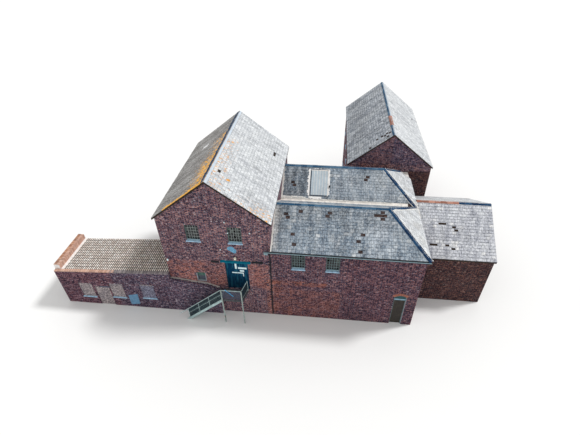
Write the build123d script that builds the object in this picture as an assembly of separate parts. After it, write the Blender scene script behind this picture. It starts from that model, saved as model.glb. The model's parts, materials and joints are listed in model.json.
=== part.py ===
from build123d import *
from collections import namedtuple
import math
import os

# Old brick works building: a tall gabled main block, a double hipped range, a low wing,
# a gabled rear block, a lean-to and an outside stair. Sizes are in millimetres.
# Places are measured from the main block's front left corner at ground level:
# x runs to the right along the front, y runs to the back and z runs up.

# Masonry, floors and roofs in general
wall = 330.0
thin_wall = 225.0
roof_thickness = 100.0
ground_slab = 150.0
floor_thickness = 220.0
tile_cover = 190.0
tile_thickness = 60.0
valley_cover = 300.0
lead_thickness = 12.0
clear = 50.0

# Main block, with its gable to the front
main_width = 7510.0
main_depth = 10250.0
main_eave_overhang = 150.0
main_verge_overhang = 100.0
main_eave = 8910.0
main_ridge = 11920.0
door_floor = 2550.0
upper_floor = 5950.0

# Double hipped range to the right of the main block
range_length = 10240.0
range_depth = 9550.0
range_end_overhang = 140.0
range_front_overhang = 210.0
range_back_overhang = 50.0
range_eave = 6755.0
front_ridge_y = 2660.0
front_ridge = 8710.0
valley_y = 5450.0
valley = 6890.0
back_ridge_y = 7920.0
back_ridge = 8650.0
back_eave = 7480.0
hip_rise = 0.737
range_floor = 4050.0

# Flat link between the range and the rear block
link_left = 13050.0
link_roof_top = 6880.0
link_roof_thickness = 150.0

# Low wing at the right end of the range
wing_length = 5550.0
wing_front = 2690.0
wing_eave_overhang = 120.0
wing_verge_overhang = 90.0
wing_eave = 4470.0
wing_ridge = 6870.0
wing_ridge_y = 6400.0

# Rear block, gabled like the main block
rear_left = 12720.0
rear_width = 6880.0
rear_front = 10500.0
rear_depth = 12200.0
rear_eave_overhang = 100.0
rear_verge_overhang = 100.0
rear_eave = 7450.0
rear_ridge = 10300.0
rear_floor = 4050.0

# Lean-to on the left, with a parapet and a shallow tiled roof
leanto_length = 8950.0
leanto_front = -300.0
leanto_depth = 3750.0
leanto_low = 3400.0
leanto_high = 3950.0
leanto_roof_thickness = 70.0
roll_pitch = 154.0
roll_width = 92.0
roll_height = 34.0
roll_shoulder = 29.0
roll_shoulder_height = 24.0
parapet_width = 450.0
parapet_rise = 200.0
coping_height = 60.0
ledge_length = 3600.0
ledge_fall = 700.0

# Windows
frame_depth = 70.0
frame_face = 60.0
frame_setback = 100.0
glass_thickness = 6.0
sill_height = 65.0
sill_proud = 50.0
sill_lap = 40.0
board_thickness = 20.0
board_setback = 40.0
main_window_width = 950.0
main_window_height = 1360.0
main_window_sill = 7100.0
main_window_centre_left = 2325.0
main_window_centre_right = 5175.0
small_window_width = 700.0
small_window_height = 910.0
small_window_sill = 3190.0
small_window_centre = 2340.0
side_window_count = 3
lower_window_sill = 3650.0
range_window_width = 920.0
range_window_height = 1330.0
range_window_sill = 5070.0
range_window_first = 1845.0
range_window_second = 4190.0
ground_window_sill = 1100.0
wing_window_width = 1000.0
wing_window_height = 1200.0
rear_window_count = 4
leanto_window_width = 1060.0
leanto_window_height = 1480.0
leanto_window_sill = 715.0
leanto_window_left = -6950.0
leanto_window_middle = -4470.0
leanto_window_right = -2015.0
leanto_door_centre = -5665.0
leanto_door_width = 1150.0
leanto_door_height = 2050.0

# Arched doorway at the right end of the range's front
arch_door_from_end = 1155.0
arch_door_width = 870.0
arch_door_spring = 2950.0
arch_door_rise = 170.0
arch_frame_face = 70.0
arch_transom = 2610.0
arch_transom_height = 100.0

# Rooflight on the range's rear roof
rooflight_from_main = 2220.0
rooflight_width = 1370.0
rooflight_low_y = 5850.0
rooflight_high_y = 7600.0
rooflight_kerb = 90.0
rooflight_kerb_width = 80.0

# Double door on the landing
door_left = 4200.0
door_width = 1650.0
door_height = 2750.0
door_frame_face = 60.0
door_frame_depth = 100.0
door_setback = 100.0
leaf_thickness = 45.0
leaf_edge_gap = 6.0
leaf_meeting_gap = 12.0
leaf_floor_gap = 10.0
hinge_count = 3
hinge_end_distance = 350.0
pin_radius = 8.0
pin_offset = 18.0
pin_inset = 20.0
eye_play = 1.0
eye_wall = 7.0
eye_height = 50.0
hinge_seat = 0.3
bracket_height = 14.0
bracket_half_depth = 12.0
bracket_root_near = 2.0
bracket_root_far = 45.0
strap_length = 480.0
strap_thickness = 6.0
canopy_lap = 235.0
canopy_height = 100.0
canopy_projection = 160.0
canopy_rise = 90.0

# Landing and stair
post_size = 70.0
post_left = 3990.0
post_right = 5440.0
landing_front = -1050.0
rail_height = 1000.0
landing_splay = 240.0
wall_post = 50.0
grating_height = 30.0
grating_bar = 8.0
grating_pitch = 60.0
deck_beam_height = 190.0
deck_beam_width = 60.0
stair_wall_gap = 10.0
riser_count = 13
going = 229.0
stringer_thickness = 12.0
stringer_above = 30.0
stringer_below = 230.0
tread_thickness = 35.0
tread_depth = 250.0
rail_size = 42.0
panel_foot = 170.0
baluster_size = 14.0
baluster_pitch = 115.0
stanchion_count = 2
handrail_reach = 560.0

# Rainwater goods
gutter_radius = 60.0
gutter_wall = 5.0
gutter_drop = 30.0
gutter_lap = 420.0
pipe_radius = 42.0
pipe_wall = 5.0
pipe_inset = 70.0
pipe_foot = 120.0
pipe_offset_drop = 320.0
clip_height = 40.0
clip_count = 3

Window = namedtuple("Window", "place centre sill width height")


class Slope:
    """One plane of a roof: a point on its eave, the way uphill and its rise for each unit run."""

    def __init__(self, x, y, z, uphill, rise):
        self.x = x
        self.y = y
        self.z = z
        self.uphill = uphill
        self.rise = rise

    def height(self, x, y):
        run = (x - self.x) * self.uphill[0] + (y - self.y) * self.uphill[1]
        return self.z + self.rise * run

    def drop(self, thickness=roof_thickness):
        return thickness * math.hypot(1, self.rise)


# Places worked out from the driving sizes
main_middle = main_width / 2
range_right = main_width + range_length
rooflight_left = main_width + rooflight_from_main
arch_door_centre = range_right - arch_door_from_end
pipe_x = main_width - pipe_inset
range_eave_x = range_right + range_end_overhang
wing_right = range_right + wing_length
wing_back_eave = rear_front
wing_back = rear_front - wing_eave_overhang
rear_right = rear_left + rear_width
rear_back = rear_front + rear_depth
rear_middle = (rear_left + rear_right) / 2
leanto_left = -leanto_length
leanto_back = leanto_front + leanto_depth
front_eave_y = -range_front_overhang
back_eave_y = range_depth + range_back_overhang
door_right = door_left + door_width
landing_left = post_left - post_size / 2
landing_right = post_right + post_size / 2
deck_front = landing_front + post_size / 2
gutter_y = front_eave_y - gutter_radius
gutter_top = range_eave - gutter_drop
stair_outer_y = landing_front + stringer_thickness / 2
stair_inner_y = leanto_front - stair_wall_gap - stringer_thickness
riser = door_floor / riser_count
pitch = riser / going
top_of_trim = 4 * main_ridge

main_rise = (main_ridge - main_eave) / (main_middle + main_eave_overhang)
rear_rise = (rear_ridge - rear_eave) / (rear_width / 2 + rear_eave_overhang)
leanto_rise = (leanto_high - leanto_low) / leanto_length

main_left_slope = Slope(-main_eave_overhang, 0, main_eave, (1, 0), main_rise)
main_right_slope = Slope(main_width + main_eave_overhang, 0, main_eave, (-1, 0), main_rise)
rear_left_slope = Slope(rear_left - rear_eave_overhang, 0, rear_eave, (1, 0), rear_rise)
rear_right_slope = Slope(rear_right + rear_eave_overhang, 0, rear_eave, (-1, 0), rear_rise)
hip_slope = Slope(range_eave_x, 0, range_eave, (-1, 0), hip_rise)
front_slope = Slope(0, front_eave_y, range_eave, (0, 1),
                    (front_ridge - range_eave) / (front_ridge_y - front_eave_y))
inner_front_slope = Slope(0, valley_y, valley, (0, -1), (front_ridge - valley) / (valley_y - front_ridge_y))
inner_back_slope = Slope(0, valley_y, valley, (0, 1), (back_ridge - valley) / (back_ridge_y - valley_y))
back_slope = Slope(0, back_eave_y, back_eave, (0, -1),
                   (back_ridge - back_eave) / (back_eave_y - back_ridge_y))
wing_front_slope = Slope(0, wing_front - wing_eave_overhang, wing_eave, (0, 1),
                         (wing_ridge - wing_eave) / (wing_ridge_y - wing_front + wing_eave_overhang))
wing_back_slope = Slope(0, wing_back_eave, wing_eave, (0, -1),
                        (wing_ridge - wing_eave) / (wing_back_eave - wing_ridge_y))
leanto_slope = Slope(leanto_left, 0, leanto_low, (1, 0), leanto_rise)

# Plan points of the hips: where each ridge stops, where the valley meets the end, and the rear corner
front_apex = (range_eave_x - (front_ridge - range_eave) / hip_rise, front_ridge_y)
back_apex = (range_eave_x - (back_ridge - range_eave) / hip_rise, back_ridge_y)
front_corner = (range_eave_x, front_eave_y)
valley_end = (range_eave_x - (valley - range_eave) / hip_rise, valley_y)
back_corner = (range_eave_x - (back_eave - range_eave) / hip_rise, back_eave_y)


def block(x0, x1, y0, y1, z0, z1):
    """A plain block between two corners."""
    return Pos((x0 + x1) / 2, (y0 + y1) / 2, (z0 + z1) / 2) * Box(x1 - x0, y1 - y0, z1 - z0)


def rectangle(x0, x1, y0, y1):
    """Corners of a rectangle in plan."""
    return [(x0, y0), (x1, y0), (x1, y1), (x0, y1)]


def slab(slope, outline, lift=0.0, depth=None):
    """A sheet that follows a roof plane over an outline in plan, with upright edges."""
    down = slope.drop() if depth is None else depth
    corners = [(x, y, slope.height(x, y) + lift) for x, y in outline]
    return extrude(Face(Wire.make_polygon(corners, close=True)), amount=down, dir=(0, 0, -1))


def under(shape, *slopes, drop=None):
    """What is left of a shape below the undersides of some roof planes."""
    box = shape.bounding_box()
    outline = rectangle(box.min.X - clear, box.max.X + clear, box.min.Y - clear, box.max.Y + clear)
    for slope in slopes:
        down = slope.drop() if drop is None else drop
        shape = shape - slab(slope, outline, lift=top_of_trim, depth=top_of_trim + down)
    return shape


def profile_along_y(points, y0, y1):
    """A solid with the given outline of x and z, from y0 to y1."""
    corners = [(x, y0, z) for x, z in points]
    return extrude(Face(Wire.make_polygon(corners, close=True)), amount=y1 - y0, dir=(0, 1, 0))


def fuse(shapes):
    """One solid from several that meet."""
    total = shapes[0]
    for shape in shapes[1:]:
        total = total + shape
    return total


def group(shapes):
    """Separate solids that share a name."""
    solids = []
    for shape in shapes:
        solids.extend(shape.solids())
    return Compound(children=solids)


# Windows, one set of functions for every wall

def front_place(x, y):
    return Pos(x, y, 0)


def left_place(x, y):
    return Pos(x, y, 0) * Rot(0, 0, -90)


def right_place(x, y):
    return Pos(x, y, 0) * Rot(0, 0, 90)


def back_place(x, y):
    return Pos(x, y, 0) * Rot(0, 0, 180)


def window_row(place, start, end, count, sill, width, height):
    """Windows evenly spaced along a stretch of wall."""
    bay = (end - start) / count
    return [Window(place, start + bay * (i + 0.5), sill, width, height) for i in range(count)]


def sill_block(window, y0, y1):
    half = window.width / 2 + sill_lap
    low = window.sill - sill_height
    return block(window.centre - half, window.centre + half, y0, y1, low, window.sill)


def plain_hole(window):
    """The opening through the wall."""
    half = window.width / 2
    return window.place * block(window.centre - half, window.centre + half, -clear, wall + clear,
                                window.sill, window.sill + window.height)


def window_hole(window):
    """The opening through the wall, with the pocket that the stone sill sits in."""
    return plain_hole(window) + window.place * sill_block(window, -clear, frame_setback)


def window_frame(window):
    half = window.width / 2
    top = window.sill + window.height
    y0 = frame_setback
    y1 = frame_setback + frame_depth
    outer = block(window.centre - half, window.centre + half, y0, y1, window.sill, top)
    inner = block(window.centre - half + frame_face, window.centre + half - frame_face,
                  y0 - clear, y1 + clear, window.sill + frame_face, top - frame_face)
    return window.place * (outer - inner)


def window_pane(window):
    half = window.width / 2 - frame_face
    middle = frame_setback + frame_depth / 2
    return window.place * block(window.centre - half, window.centre + half,
                                middle - glass_thickness / 2, middle + glass_thickness / 2,
                                window.sill + frame_face, window.sill + window.height - frame_face)


def window_sill(window):
    return window.place * sill_block(window, -sill_proud, frame_setback)


def cut_windows(shape, windows):
    for window in windows:
        shape = shape - window_hole(window)
    return shape


front_face = front_place(0, 0)
range_face = front_place(main_width, 0)
main_back_face = back_place(main_width, main_depth)
main_left_face = left_place(0, main_depth)
range_back_face = back_place(range_right, range_depth)
wing_end_face = right_place(wing_right, wing_front)
wing_back_face = back_place(wing_right, wing_back)
rear_back_face = back_place(rear_right, rear_back)
rear_left_face = left_place(rear_left, rear_back)
rear_right_face = right_place(rear_right, rear_front)
leanto_face = front_place(0, leanto_front)

gable_windows = [
    Window(front_face, main_window_centre_left, main_window_sill, main_window_width, main_window_height),
    Window(front_face, main_window_centre_right, main_window_sill, main_window_width, main_window_height),
]
small_window = Window(front_face, small_window_centre, small_window_sill, small_window_width,
                      small_window_height)
main_back_windows = [
    window
    for sill in (main_window_sill, lower_window_sill)
    for window in window_row(main_back_face, 0, main_width, 2, sill, main_window_width, main_window_height)
]
main_left_windows = window_row(main_left_face, 0, main_depth, side_window_count, main_window_sill,
                               main_window_width, main_window_height)
range_front_windows = [
    Window(range_face, range_window_first, range_window_sill, range_window_width, range_window_height),
    Window(range_face, range_window_second, range_window_sill, range_window_width, range_window_height),
]
range_back_windows = window_row(range_back_face, range_right - rear_left, range_length, 2,
                                range_window_sill, range_window_width, range_window_height)
wing_end_windows = window_row(wing_end_face, 0, wing_back - wing_front, 2, ground_window_sill,
                              wing_window_width, wing_window_height)
wing_back_windows = window_row(wing_back_face, 0, wing_right - rear_right, 1, ground_window_sill,
                               wing_window_width, wing_window_height)
rear_back_windows = [
    window
    for sill in (ground_window_sill, range_window_sill)
    for window in window_row(rear_back_face, 0, rear_width, 2, sill, range_window_width,
                             range_window_height)
]
rear_side_windows = [
    window
    for place in (rear_left_face, rear_right_face)
    for sill in (ground_window_sill, range_window_sill)
    for window in window_row(place, 0, rear_depth, rear_window_count, sill, range_window_width,
                             range_window_height)
]
large_windows = (gable_windows + main_back_windows + main_left_windows + range_front_windows
                 + range_back_windows + wing_end_windows + wing_back_windows + rear_back_windows
                 + rear_side_windows)
glazed_windows = large_windows + [small_window]
blind_windows = [
    Window(leanto_face, centre, leanto_window_sill + leanto_slope.height(centre, 0) - leanto_low,
           leanto_window_width, leanto_window_height)
    for centre in (leanto_window_left, leanto_window_middle, leanto_window_right)
]


# Main block

def main_front_wall():
    """The gable wall in four plain parts: below, left of, right of and above the doorway."""
    head = door_floor + door_height
    base = block(0, main_width, 0, wall, 0, door_floor)
    left = block(0, door_left, 0, wall, door_floor, head) - plain_hole(small_window)
    right = block(door_right, main_width, 0, wall, door_floor, head)
    gable = under(block(0, main_width, 0, wall, head, main_ridge), main_left_slope, main_right_slope)
    return base, left, right, cut_windows(gable, gable_windows)


def main_back_wall():
    solid = block(0, main_width, main_depth - wall, main_depth, 0, main_ridge)
    return cut_windows(under(solid, main_left_slope, main_right_slope), main_back_windows)


def main_side_walls():
    left = under(block(0, wall, wall, main_depth - wall, 0, main_ridge), main_left_slope)
    right = under(block(main_width - wall, main_width, wall, main_depth - wall, 0, main_ridge),
                  main_right_slope)
    return group([cut_windows(left, main_left_windows), right])


def gable_roof(left_slope, right_slope, middle, y0, y1):
    """Two slopes that meet at a ridge running from front to back."""
    return (slab(left_slope, rectangle(left_slope.x, middle, y0, y1))
            + slab(right_slope, rectangle(middle, right_slope.x, y0, y1)))


def main_roof():
    return gable_roof(main_left_slope, main_right_slope, main_middle,
                      -main_verge_overhang, main_depth + main_verge_overhang)


# Double hipped range

def range_front_wall():
    whole = under(block(main_width, range_right, 0, wall, 0, front_ridge), front_slope, hip_slope)
    return cut_windows(whole, range_front_windows) - arch_door_hole(-clear, wall + clear)


def range_end_wall():
    """The end wall, which follows the hips and dips below the valley between them."""
    inner = range_right - wall
    front = under(block(inner, range_right, wall, valley_y, 0, front_ridge),
                  front_slope, inner_front_slope, hip_slope)
    back = under(block(inner, range_right, valley_y, range_depth - wall, 0, back_ridge),
                 inner_back_slope, back_slope, hip_slope)
    return front + back


def range_back_wall():
    whole = under(block(main_width, range_right, range_depth - wall, range_depth, 0, back_ridge),
                  back_slope, hip_slope)
    return cut_windows(whole, range_back_windows)


def front_range_roof():
    """The front half of the double roof: two slopes and the hip between them."""
    front = slab(front_slope, [(main_width, front_eave_y), front_corner, front_apex,
                               (main_width, front_ridge_y)])
    inner = slab(inner_front_slope, [(main_width, front_ridge_y), front_apex, valley_end,
                                     (main_width, valley_y)])
    hip = slab(hip_slope, [front_corner, (range_eave_x, valley_y), valley_end, front_apex])
    return front + inner + hip


def rear_range_roof():
    """The rear half of the double roof, cut for the rooflight."""
    inner = slab(inner_back_slope, [(main_width, valley_y), valley_end, back_apex,
                                    (main_width, back_ridge_y)])
    back = slab(back_slope, [(main_width, back_ridge_y), back_apex, back_corner,
                             (main_width, back_eave_y)])
    hip = slab(hip_slope, [valley_end, (range_eave_x, valley_y), (range_eave_x, back_eave_y),
                           back_corner, back_apex])
    return inner + back + hip - rooflight_solid(0)


def rooflight_solid(inset):
    """The rooflight's block through the roof, drawn in by an inset all round."""
    outline = rectangle(rooflight_left + inset, rooflight_left + rooflight_width - inset,
                        rooflight_low_y + inset, rooflight_high_y - inset)
    deep = inner_back_slope.drop()
    spare = clear if inset else 0
    whole = rooflight_kerb + deep + 2 * spare
    return slab(inner_back_slope, outline, lift=rooflight_kerb + spare, depth=whole)


def rooflight_frame():
    return rooflight_solid(0) - rooflight_solid(rooflight_kerb_width)


def rooflight_pane():
    """A sheet of glass that lies on the kerb."""
    inset = rooflight_kerb_width / 2
    outline = rectangle(rooflight_left + inset, rooflight_left + rooflight_width - inset,
                        rooflight_low_y + inset, rooflight_high_y - inset)
    return slab(inner_back_slope, outline, lift=rooflight_kerb + glass_thickness, depth=glass_thickness)


def hip_cap(apex, foot, slope):
    """Tiles down a hip, lapping onto a roof plane on one side and the end slope on the other."""
    run = foot[0] - apex[0]
    fall = foot[1] - apex[1]
    back_to_ridge = -math.copysign(tile_cover, fall)
    on_slope = [apex, foot, (foot[0] - tile_cover, foot[1]), (apex[0] - tile_cover, apex[1])]
    on_hip = [apex, foot, (foot[0], foot[1] + back_to_ridge),
              (apex[0] + run * tile_cover / abs(fall), apex[1])]
    return [slab(slope, on_slope, tile_thickness, tile_thickness),
            slab(hip_slope, on_hip, tile_thickness, tile_thickness)]


def cap_between(low_slope, low_outline, high_slope, high_outline):
    return (slab(low_slope, low_outline, tile_thickness, tile_thickness)
            + slab(high_slope, high_outline, tile_thickness, tile_thickness))


def gable_ridge(left_slope, right_slope, middle, y0, y1):
    return cap_between(left_slope, rectangle(middle - tile_cover, middle, y0, y1),
                       right_slope, rectangle(middle, middle + tile_cover, y0, y1))


def cross_ridge(front, back, y, x0, x1):
    return cap_between(front, rectangle(x0, x1, y - tile_cover, y),
                       back, rectangle(x0, x1, y, y + tile_cover))


def ridge_tiles():
    """Ridge and hip coverings of every roof, one solid for each roof."""
    front = [cross_ridge(front_slope, inner_front_slope, front_ridge_y, main_width, front_apex[0])]
    front += hip_cap(front_apex, front_corner, front_slope)
    front += hip_cap(front_apex, valley_end, inner_front_slope)
    back = [cross_ridge(inner_back_slope, back_slope, back_ridge_y, main_width, back_apex[0])]
    back += hip_cap(back_apex, valley_end, inner_back_slope)
    back += hip_cap(back_apex, back_corner, back_slope)
    main = gable_ridge(main_left_slope, main_right_slope, main_middle,
                       -main_verge_overhang, main_depth + main_verge_overhang)
    rear = gable_ridge(rear_left_slope, rear_right_slope, rear_middle,
                       rear_front - rear_verge_overhang, rear_back + rear_verge_overhang)
    wing = cross_ridge(wing_front_slope, wing_back_slope, wing_ridge_y,
                       range_eave_x, wing_right + wing_verge_overhang)
    return group([main, fuse(front), fuse(back), rear, wing])


def lead_valley():
    """Lead laid in the valley between the two halves of the range's roof."""
    stop = valley_end[0] - 2 * valley_cover
    front = slab(inner_front_slope, rectangle(main_width, stop, valley_y - valley_cover, valley_y),
                 lead_thickness, lead_thickness)
    back = slab(inner_back_slope, rectangle(main_width, stop, valley_y, valley_y + valley_cover),
                lead_thickness, lead_thickness)
    return front + back


# Link between the range and the rear block

def link_walls():
    top = link_roof_top - link_roof_thickness
    left = block(link_left, link_left + wall, range_depth, rear_front, 0, top)
    right = block(range_right - wall, range_right, range_depth, rear_front, 0, top)
    return group([left, right])


def link_roof():
    """A flat roof, cut to fit under the range's rear corner."""
    flat = block(link_left, range_right, range_depth, rear_front, link_roof_top - link_roof_thickness,
                 link_roof_top)
    corner = slab(hip_slope, rectangle(back_corner[0], range_eave_x, range_depth - clear, back_eave_y),
                  lift=clear, depth=hip_slope.drop() + clear)
    return flat - corner


# Low wing

def wing_side_walls():
    front = under(block(range_right, wing_right, wing_front, wing_front + wall, 0, wing_ridge),
                  wing_front_slope)
    back = under(block(range_right, wing_right, wing_back - wall, wing_back, 0, wing_ridge),
                 wing_back_slope)
    return group([front, cut_windows(back, wing_back_windows)])


def wing_end_wall():
    whole = block(wing_right - wall, wing_right, wing_front + wall, wing_back - wall, 0, wing_ridge)
    return cut_windows(under(whole, wing_front_slope, wing_back_slope), wing_end_windows)


def wing_roof():
    """Two slopes that stop under the range's eave."""
    right = wing_right + wing_verge_overhang
    front = slab(wing_front_slope, rectangle(range_right, right, wing_front_slope.y, wing_ridge_y))
    back = slab(wing_back_slope, rectangle(range_right, right, wing_ridge_y, wing_back_slope.y))
    eave_room = block(range_right - clear, range_eave_x, wing_front_slope.y - clear,
                      range_depth + range_back_overhang, range_eave - hip_slope.drop(), wing_ridge + clear)
    return front + back - eave_room


# Rear block

def rear_gable_walls():
    front = under(block(rear_left, rear_right, rear_front, rear_front + wall, 0, rear_ridge),
                  rear_left_slope, rear_right_slope)
    back = under(block(rear_left, rear_right, rear_back - wall, rear_back, 0, rear_ridge),
                 rear_left_slope, rear_right_slope)
    return group([front, cut_windows(back, rear_back_windows)])


def rear_side_walls():
    y0 = rear_front + wall
    y1 = rear_back - wall
    left = under(block(rear_left, rear_left + wall, y0, y1, 0, rear_ridge), rear_left_slope)
    right = under(block(rear_right - wall, rear_right, y0, y1, 0, rear_ridge), rear_right_slope)
    return group([cut_windows(left, rear_side_windows), cut_windows(right, rear_side_windows)])


def rear_roof():
    return gable_roof(rear_left_slope, rear_right_slope, rear_middle,
                      rear_front - rear_verge_overhang, rear_back + rear_verge_overhang)


# Lean-to

def boarded_door_hole():
    half = leanto_door_width / 2
    return leanto_face * block(leanto_door_centre - half, leanto_door_centre + half, -clear,
                               thin_wall + clear, 0, leanto_door_height)


def leanto_front_wall():
    whole = block(leanto_left, 0, leanto_front, leanto_front + thin_wall, 0, leanto_high)
    return cut_windows(under(whole, leanto_slope, drop=0.0), blind_windows) - boarded_door_hole()


def leanto_walls():
    """The left wall, carried up as a wide parapet, and the rear wall below the roof."""
    left = block(leanto_left, leanto_left + parapet_width, leanto_front + thin_wall, leanto_back, 0,
                 leanto_low + parapet_rise)
    back = under(block(leanto_left + parapet_width, 0, leanto_back - thin_wall, leanto_back, 0, leanto_high),
                 leanto_slope, drop=leanto_roof_thickness)
    return left + back


def rolled_top(x0, x1, y):
    """Top edges of the roll tiles from one side to the other, with a four-sided roll in each pitch."""
    def point(x, lift=0.0):
        return (x, y, leanto_slope.height(x, y) + lift)

    count = round((x1 - x0) / roll_pitch)
    step = (x1 - x0) / count
    corners = [(-roll_width / 2, 0), (-roll_shoulder, roll_shoulder_height), (0, roll_height),
               (roll_shoulder, roll_shoulder_height), (roll_width / 2, 0)]
    points = [point(x0)]
    for i in range(count):
        middle = x0 + (i + 0.5) * step
        points += [point(middle + across, lift) for across, lift in corners]
    points.append(point(x1))
    return [Edge.make_line(a, b) for a, b in zip(points, points[1:])]


def leanto_roof():
    """A shallow sheet of roll tiles, with its rolls from front to back, that falls to the parapet."""
    x0 = leanto_left + parapet_width
    y0 = leanto_front + thin_wall
    left_top = leanto_slope.height(x0, y0)
    right_top = leanto_slope.height(0, y0)
    underside = [(0, y0, right_top), (0, y0, right_top - leanto_roof_thickness),
                 (x0, y0, left_top - leanto_roof_thickness), (x0, y0, left_top)]
    sides = [Edge.make_line(a, b) for a, b in zip(underside, underside[1:])]
    section = Face(Wire(rolled_top(x0, 0, y0) + sides))
    return extrude(section, amount=leanto_back - y0, dir=(0, 1, 0))


def wall_copings():
    """The coping on the lean-to's front wall, and the sloping ledge that carries on past its end."""
    coping = slab(leanto_slope, rectangle(leanto_left, 0, leanto_front, leanto_front + thin_wall),
                  coping_height, coping_height)
    top = leanto_low
    ledge = profile_along_y([(0, 0), (ledge_length, 0), (ledge_length, top - ledge_fall),
                             (ledge_length * 3 / 4, top - ledge_fall / 2), (0, top)], leanto_front, 0)
    return group([coping, ledge])


def opening_boards():
    """Boards that close the lean-to's windows and door."""
    boards = []
    for window in blind_windows:
        half = window.width / 2
        board = block(window.centre - half, window.centre + half, board_setback,
                      board_setback + board_thickness, window.sill, window.sill + window.height)
        boards.append(window.place * board)
    half = leanto_door_width / 2
    door = block(leanto_door_centre - half, leanto_door_centre + half, board_setback,
                 board_setback + board_thickness, 0, leanto_door_height)
    boards.append(leanto_face * door)
    return group(boards)


# Floors

def ground_floors():
    main = block(wall, main_width - wall, wall, main_depth - wall, 0, ground_slab)
    middle = block(main_width, range_right - wall, wall, range_depth - wall, 0, ground_slab)
    wing = block(range_right, wing_right - wall, wing_front + wall, wing_back - wall, 0, ground_slab)
    rear = block(rear_left + wall, rear_right - wall, rear_front + wall, rear_back - wall, 0, ground_slab)
    leanto = block(leanto_left + parapet_width, 0, leanto_front + thin_wall, leanto_back - thin_wall,
                   0, ground_slab)
    return group([main, middle, wing, rear, leanto])


def upper_floors():
    def floor(x0, x1, y0, y1, top):
        return block(x0, x1, y0, y1, top - floor_thickness, top)

    main_lower = floor(wall, main_width - wall, wall, main_depth - wall, door_floor)
    main_upper = floor(wall, main_width - wall, wall, main_depth - wall, upper_floor)
    middle = floor(main_width, range_right - wall, wall, range_depth - wall, range_floor)
    rear = floor(rear_left + wall, rear_right - wall, rear_front + wall, rear_back - wall, rear_floor)
    return group([main_lower, main_upper, middle, rear])


# Arched doorway in the range's front wall

def arch_outline(inset, y):
    """Face of the doorway: upright sides below a segmental arch, drawn in by an inset."""
    half = arch_door_width / 2 - inset
    left = (arch_door_centre - half, y, 0)
    right = (arch_door_centre + half, y, 0)
    left_spring = (arch_door_centre - half, y, arch_door_spring)
    right_spring = (arch_door_centre + half, y, arch_door_spring)
    crown = (arch_door_centre, y, arch_door_spring + arch_door_rise - inset)
    edges = [Edge.make_line(left, right), Edge.make_line(right, right_spring),
             Edge.make_three_point_arc(right_spring, crown, left_spring),
             Edge.make_line(left_spring, left)]
    return Face(Wire(edges))


def arch_prism(inset, y0, y1):
    return extrude(arch_outline(inset, y0), amount=y1 - y0, dir=(0, 1, 0))


def arch_door_hole(y0, y1):
    return arch_prism(0, y0, y1)


def arched_door():
    """Frame of the arched doorway, with a transom across it."""
    y0 = frame_setback
    y1 = frame_setback + frame_depth
    ring = arch_prism(0, y0, y1) - arch_prism(arch_frame_face, y0 - clear, y1 + clear)
    half = arch_door_width / 2 - arch_frame_face
    transom = block(arch_door_centre - half, arch_door_centre + half, y0, y1, arch_transom,
                    arch_transom + arch_transom_height)
    return ring + transom


def arched_door_panels():
    """Boarding below the transom and a panel above it."""
    middle = frame_setback + frame_depth / 2
    sheet = arch_prism(arch_frame_face, middle - board_thickness / 2, middle + board_thickness / 2)
    gap = block(arch_door_centre - arch_door_width, arch_door_centre + arch_door_width, 0, wall,
                arch_transom, arch_transom + arch_transom_height)
    return group([sheet - gap])


# Double door, its frame and hinges

leaf_width = (door_width - 2 * door_frame_face - 2 * leaf_edge_gap - leaf_meeting_gap) / 2
leaf_bottom = door_floor + leaf_floor_gap
leaf_top = door_floor + door_height - door_frame_face - leaf_edge_gap
door_back = door_setback + door_frame_depth
pin_y = door_back + pin_offset
left_jamb = door_left + door_frame_face
right_jamb = door_right - door_frame_face
left_pin_x = left_jamb + pin_inset
right_pin_x = right_jamb - pin_inset
eye_radius = pin_radius + eye_play + eye_wall


def hinge_heights():
    low = leaf_bottom + hinge_end_distance
    high = leaf_top - hinge_end_distance
    return [low + (high - low) * i / (hinge_count - 1) for i in range(hinge_count)]


def door_frame():
    head = door_floor + door_height
    outer = block(door_left, door_right, door_setback, door_back, door_floor, head)
    inner = block(left_jamb, right_jamb, door_setback - clear, door_back + clear, door_floor - clear,
                  head - door_frame_face)
    return outer - inner


def pintle(side, jamb, pin_x, height):
    """A bracket on the back of the jamb with an upright pin; side is 1 on the left, -1 on the right."""
    bracket_top = height - eye_height / 2 - hinge_seat
    bracket_low = bracket_top - bracket_height
    far = jamb - side * bracket_root_far
    near = jamb - side * bracket_root_near
    tip = pin_x + side * pin_radius
    root = block(min(far, near), max(far, near), door_back, pin_y + bracket_half_depth, bracket_low,
                 bracket_top)
    arm = block(min(near, tip), max(near, tip), pin_y - bracket_half_depth, pin_y + bracket_half_depth,
                bracket_low, bracket_top)
    pin_length = eye_height + hinge_seat
    pin = Pos(pin_x, pin_y, bracket_top + pin_length / 2) * Cylinder(pin_radius, pin_length)
    return root + arm + pin


def door_pintles():
    pintles = []
    for height in hinge_heights():
        pintles.append(pintle(1, left_jamb, left_pin_x, height))
        pintles.append(pintle(-1, right_jamb, right_pin_x, height))
    return group(pintles)


def door_leaf(side, edge, pin_x):
    """A boarded leaf with strap hinges on its back, whose eyes turn on the pins."""
    far = edge + side * leaf_width
    leaf = block(min(edge, far), max(edge, far), door_back - leaf_thickness, door_back, leaf_bottom, leaf_top)
    for height in hinge_heights():
        strap_end = pin_x + side * strap_length
        strap = block(min(pin_x, strap_end), max(pin_x, strap_end), door_back,
                      door_back + strap_thickness, height - eye_height / 2, height + eye_height / 2)
        eye = Pos(pin_x, pin_y, height) * Cylinder(eye_radius, eye_height)
        bore = Pos(pin_x, pin_y, height) * Cylinder(pin_radius + eye_play, eye_height + clear)
        leaf = leaf + (strap + eye - bore)
    return leaf


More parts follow.
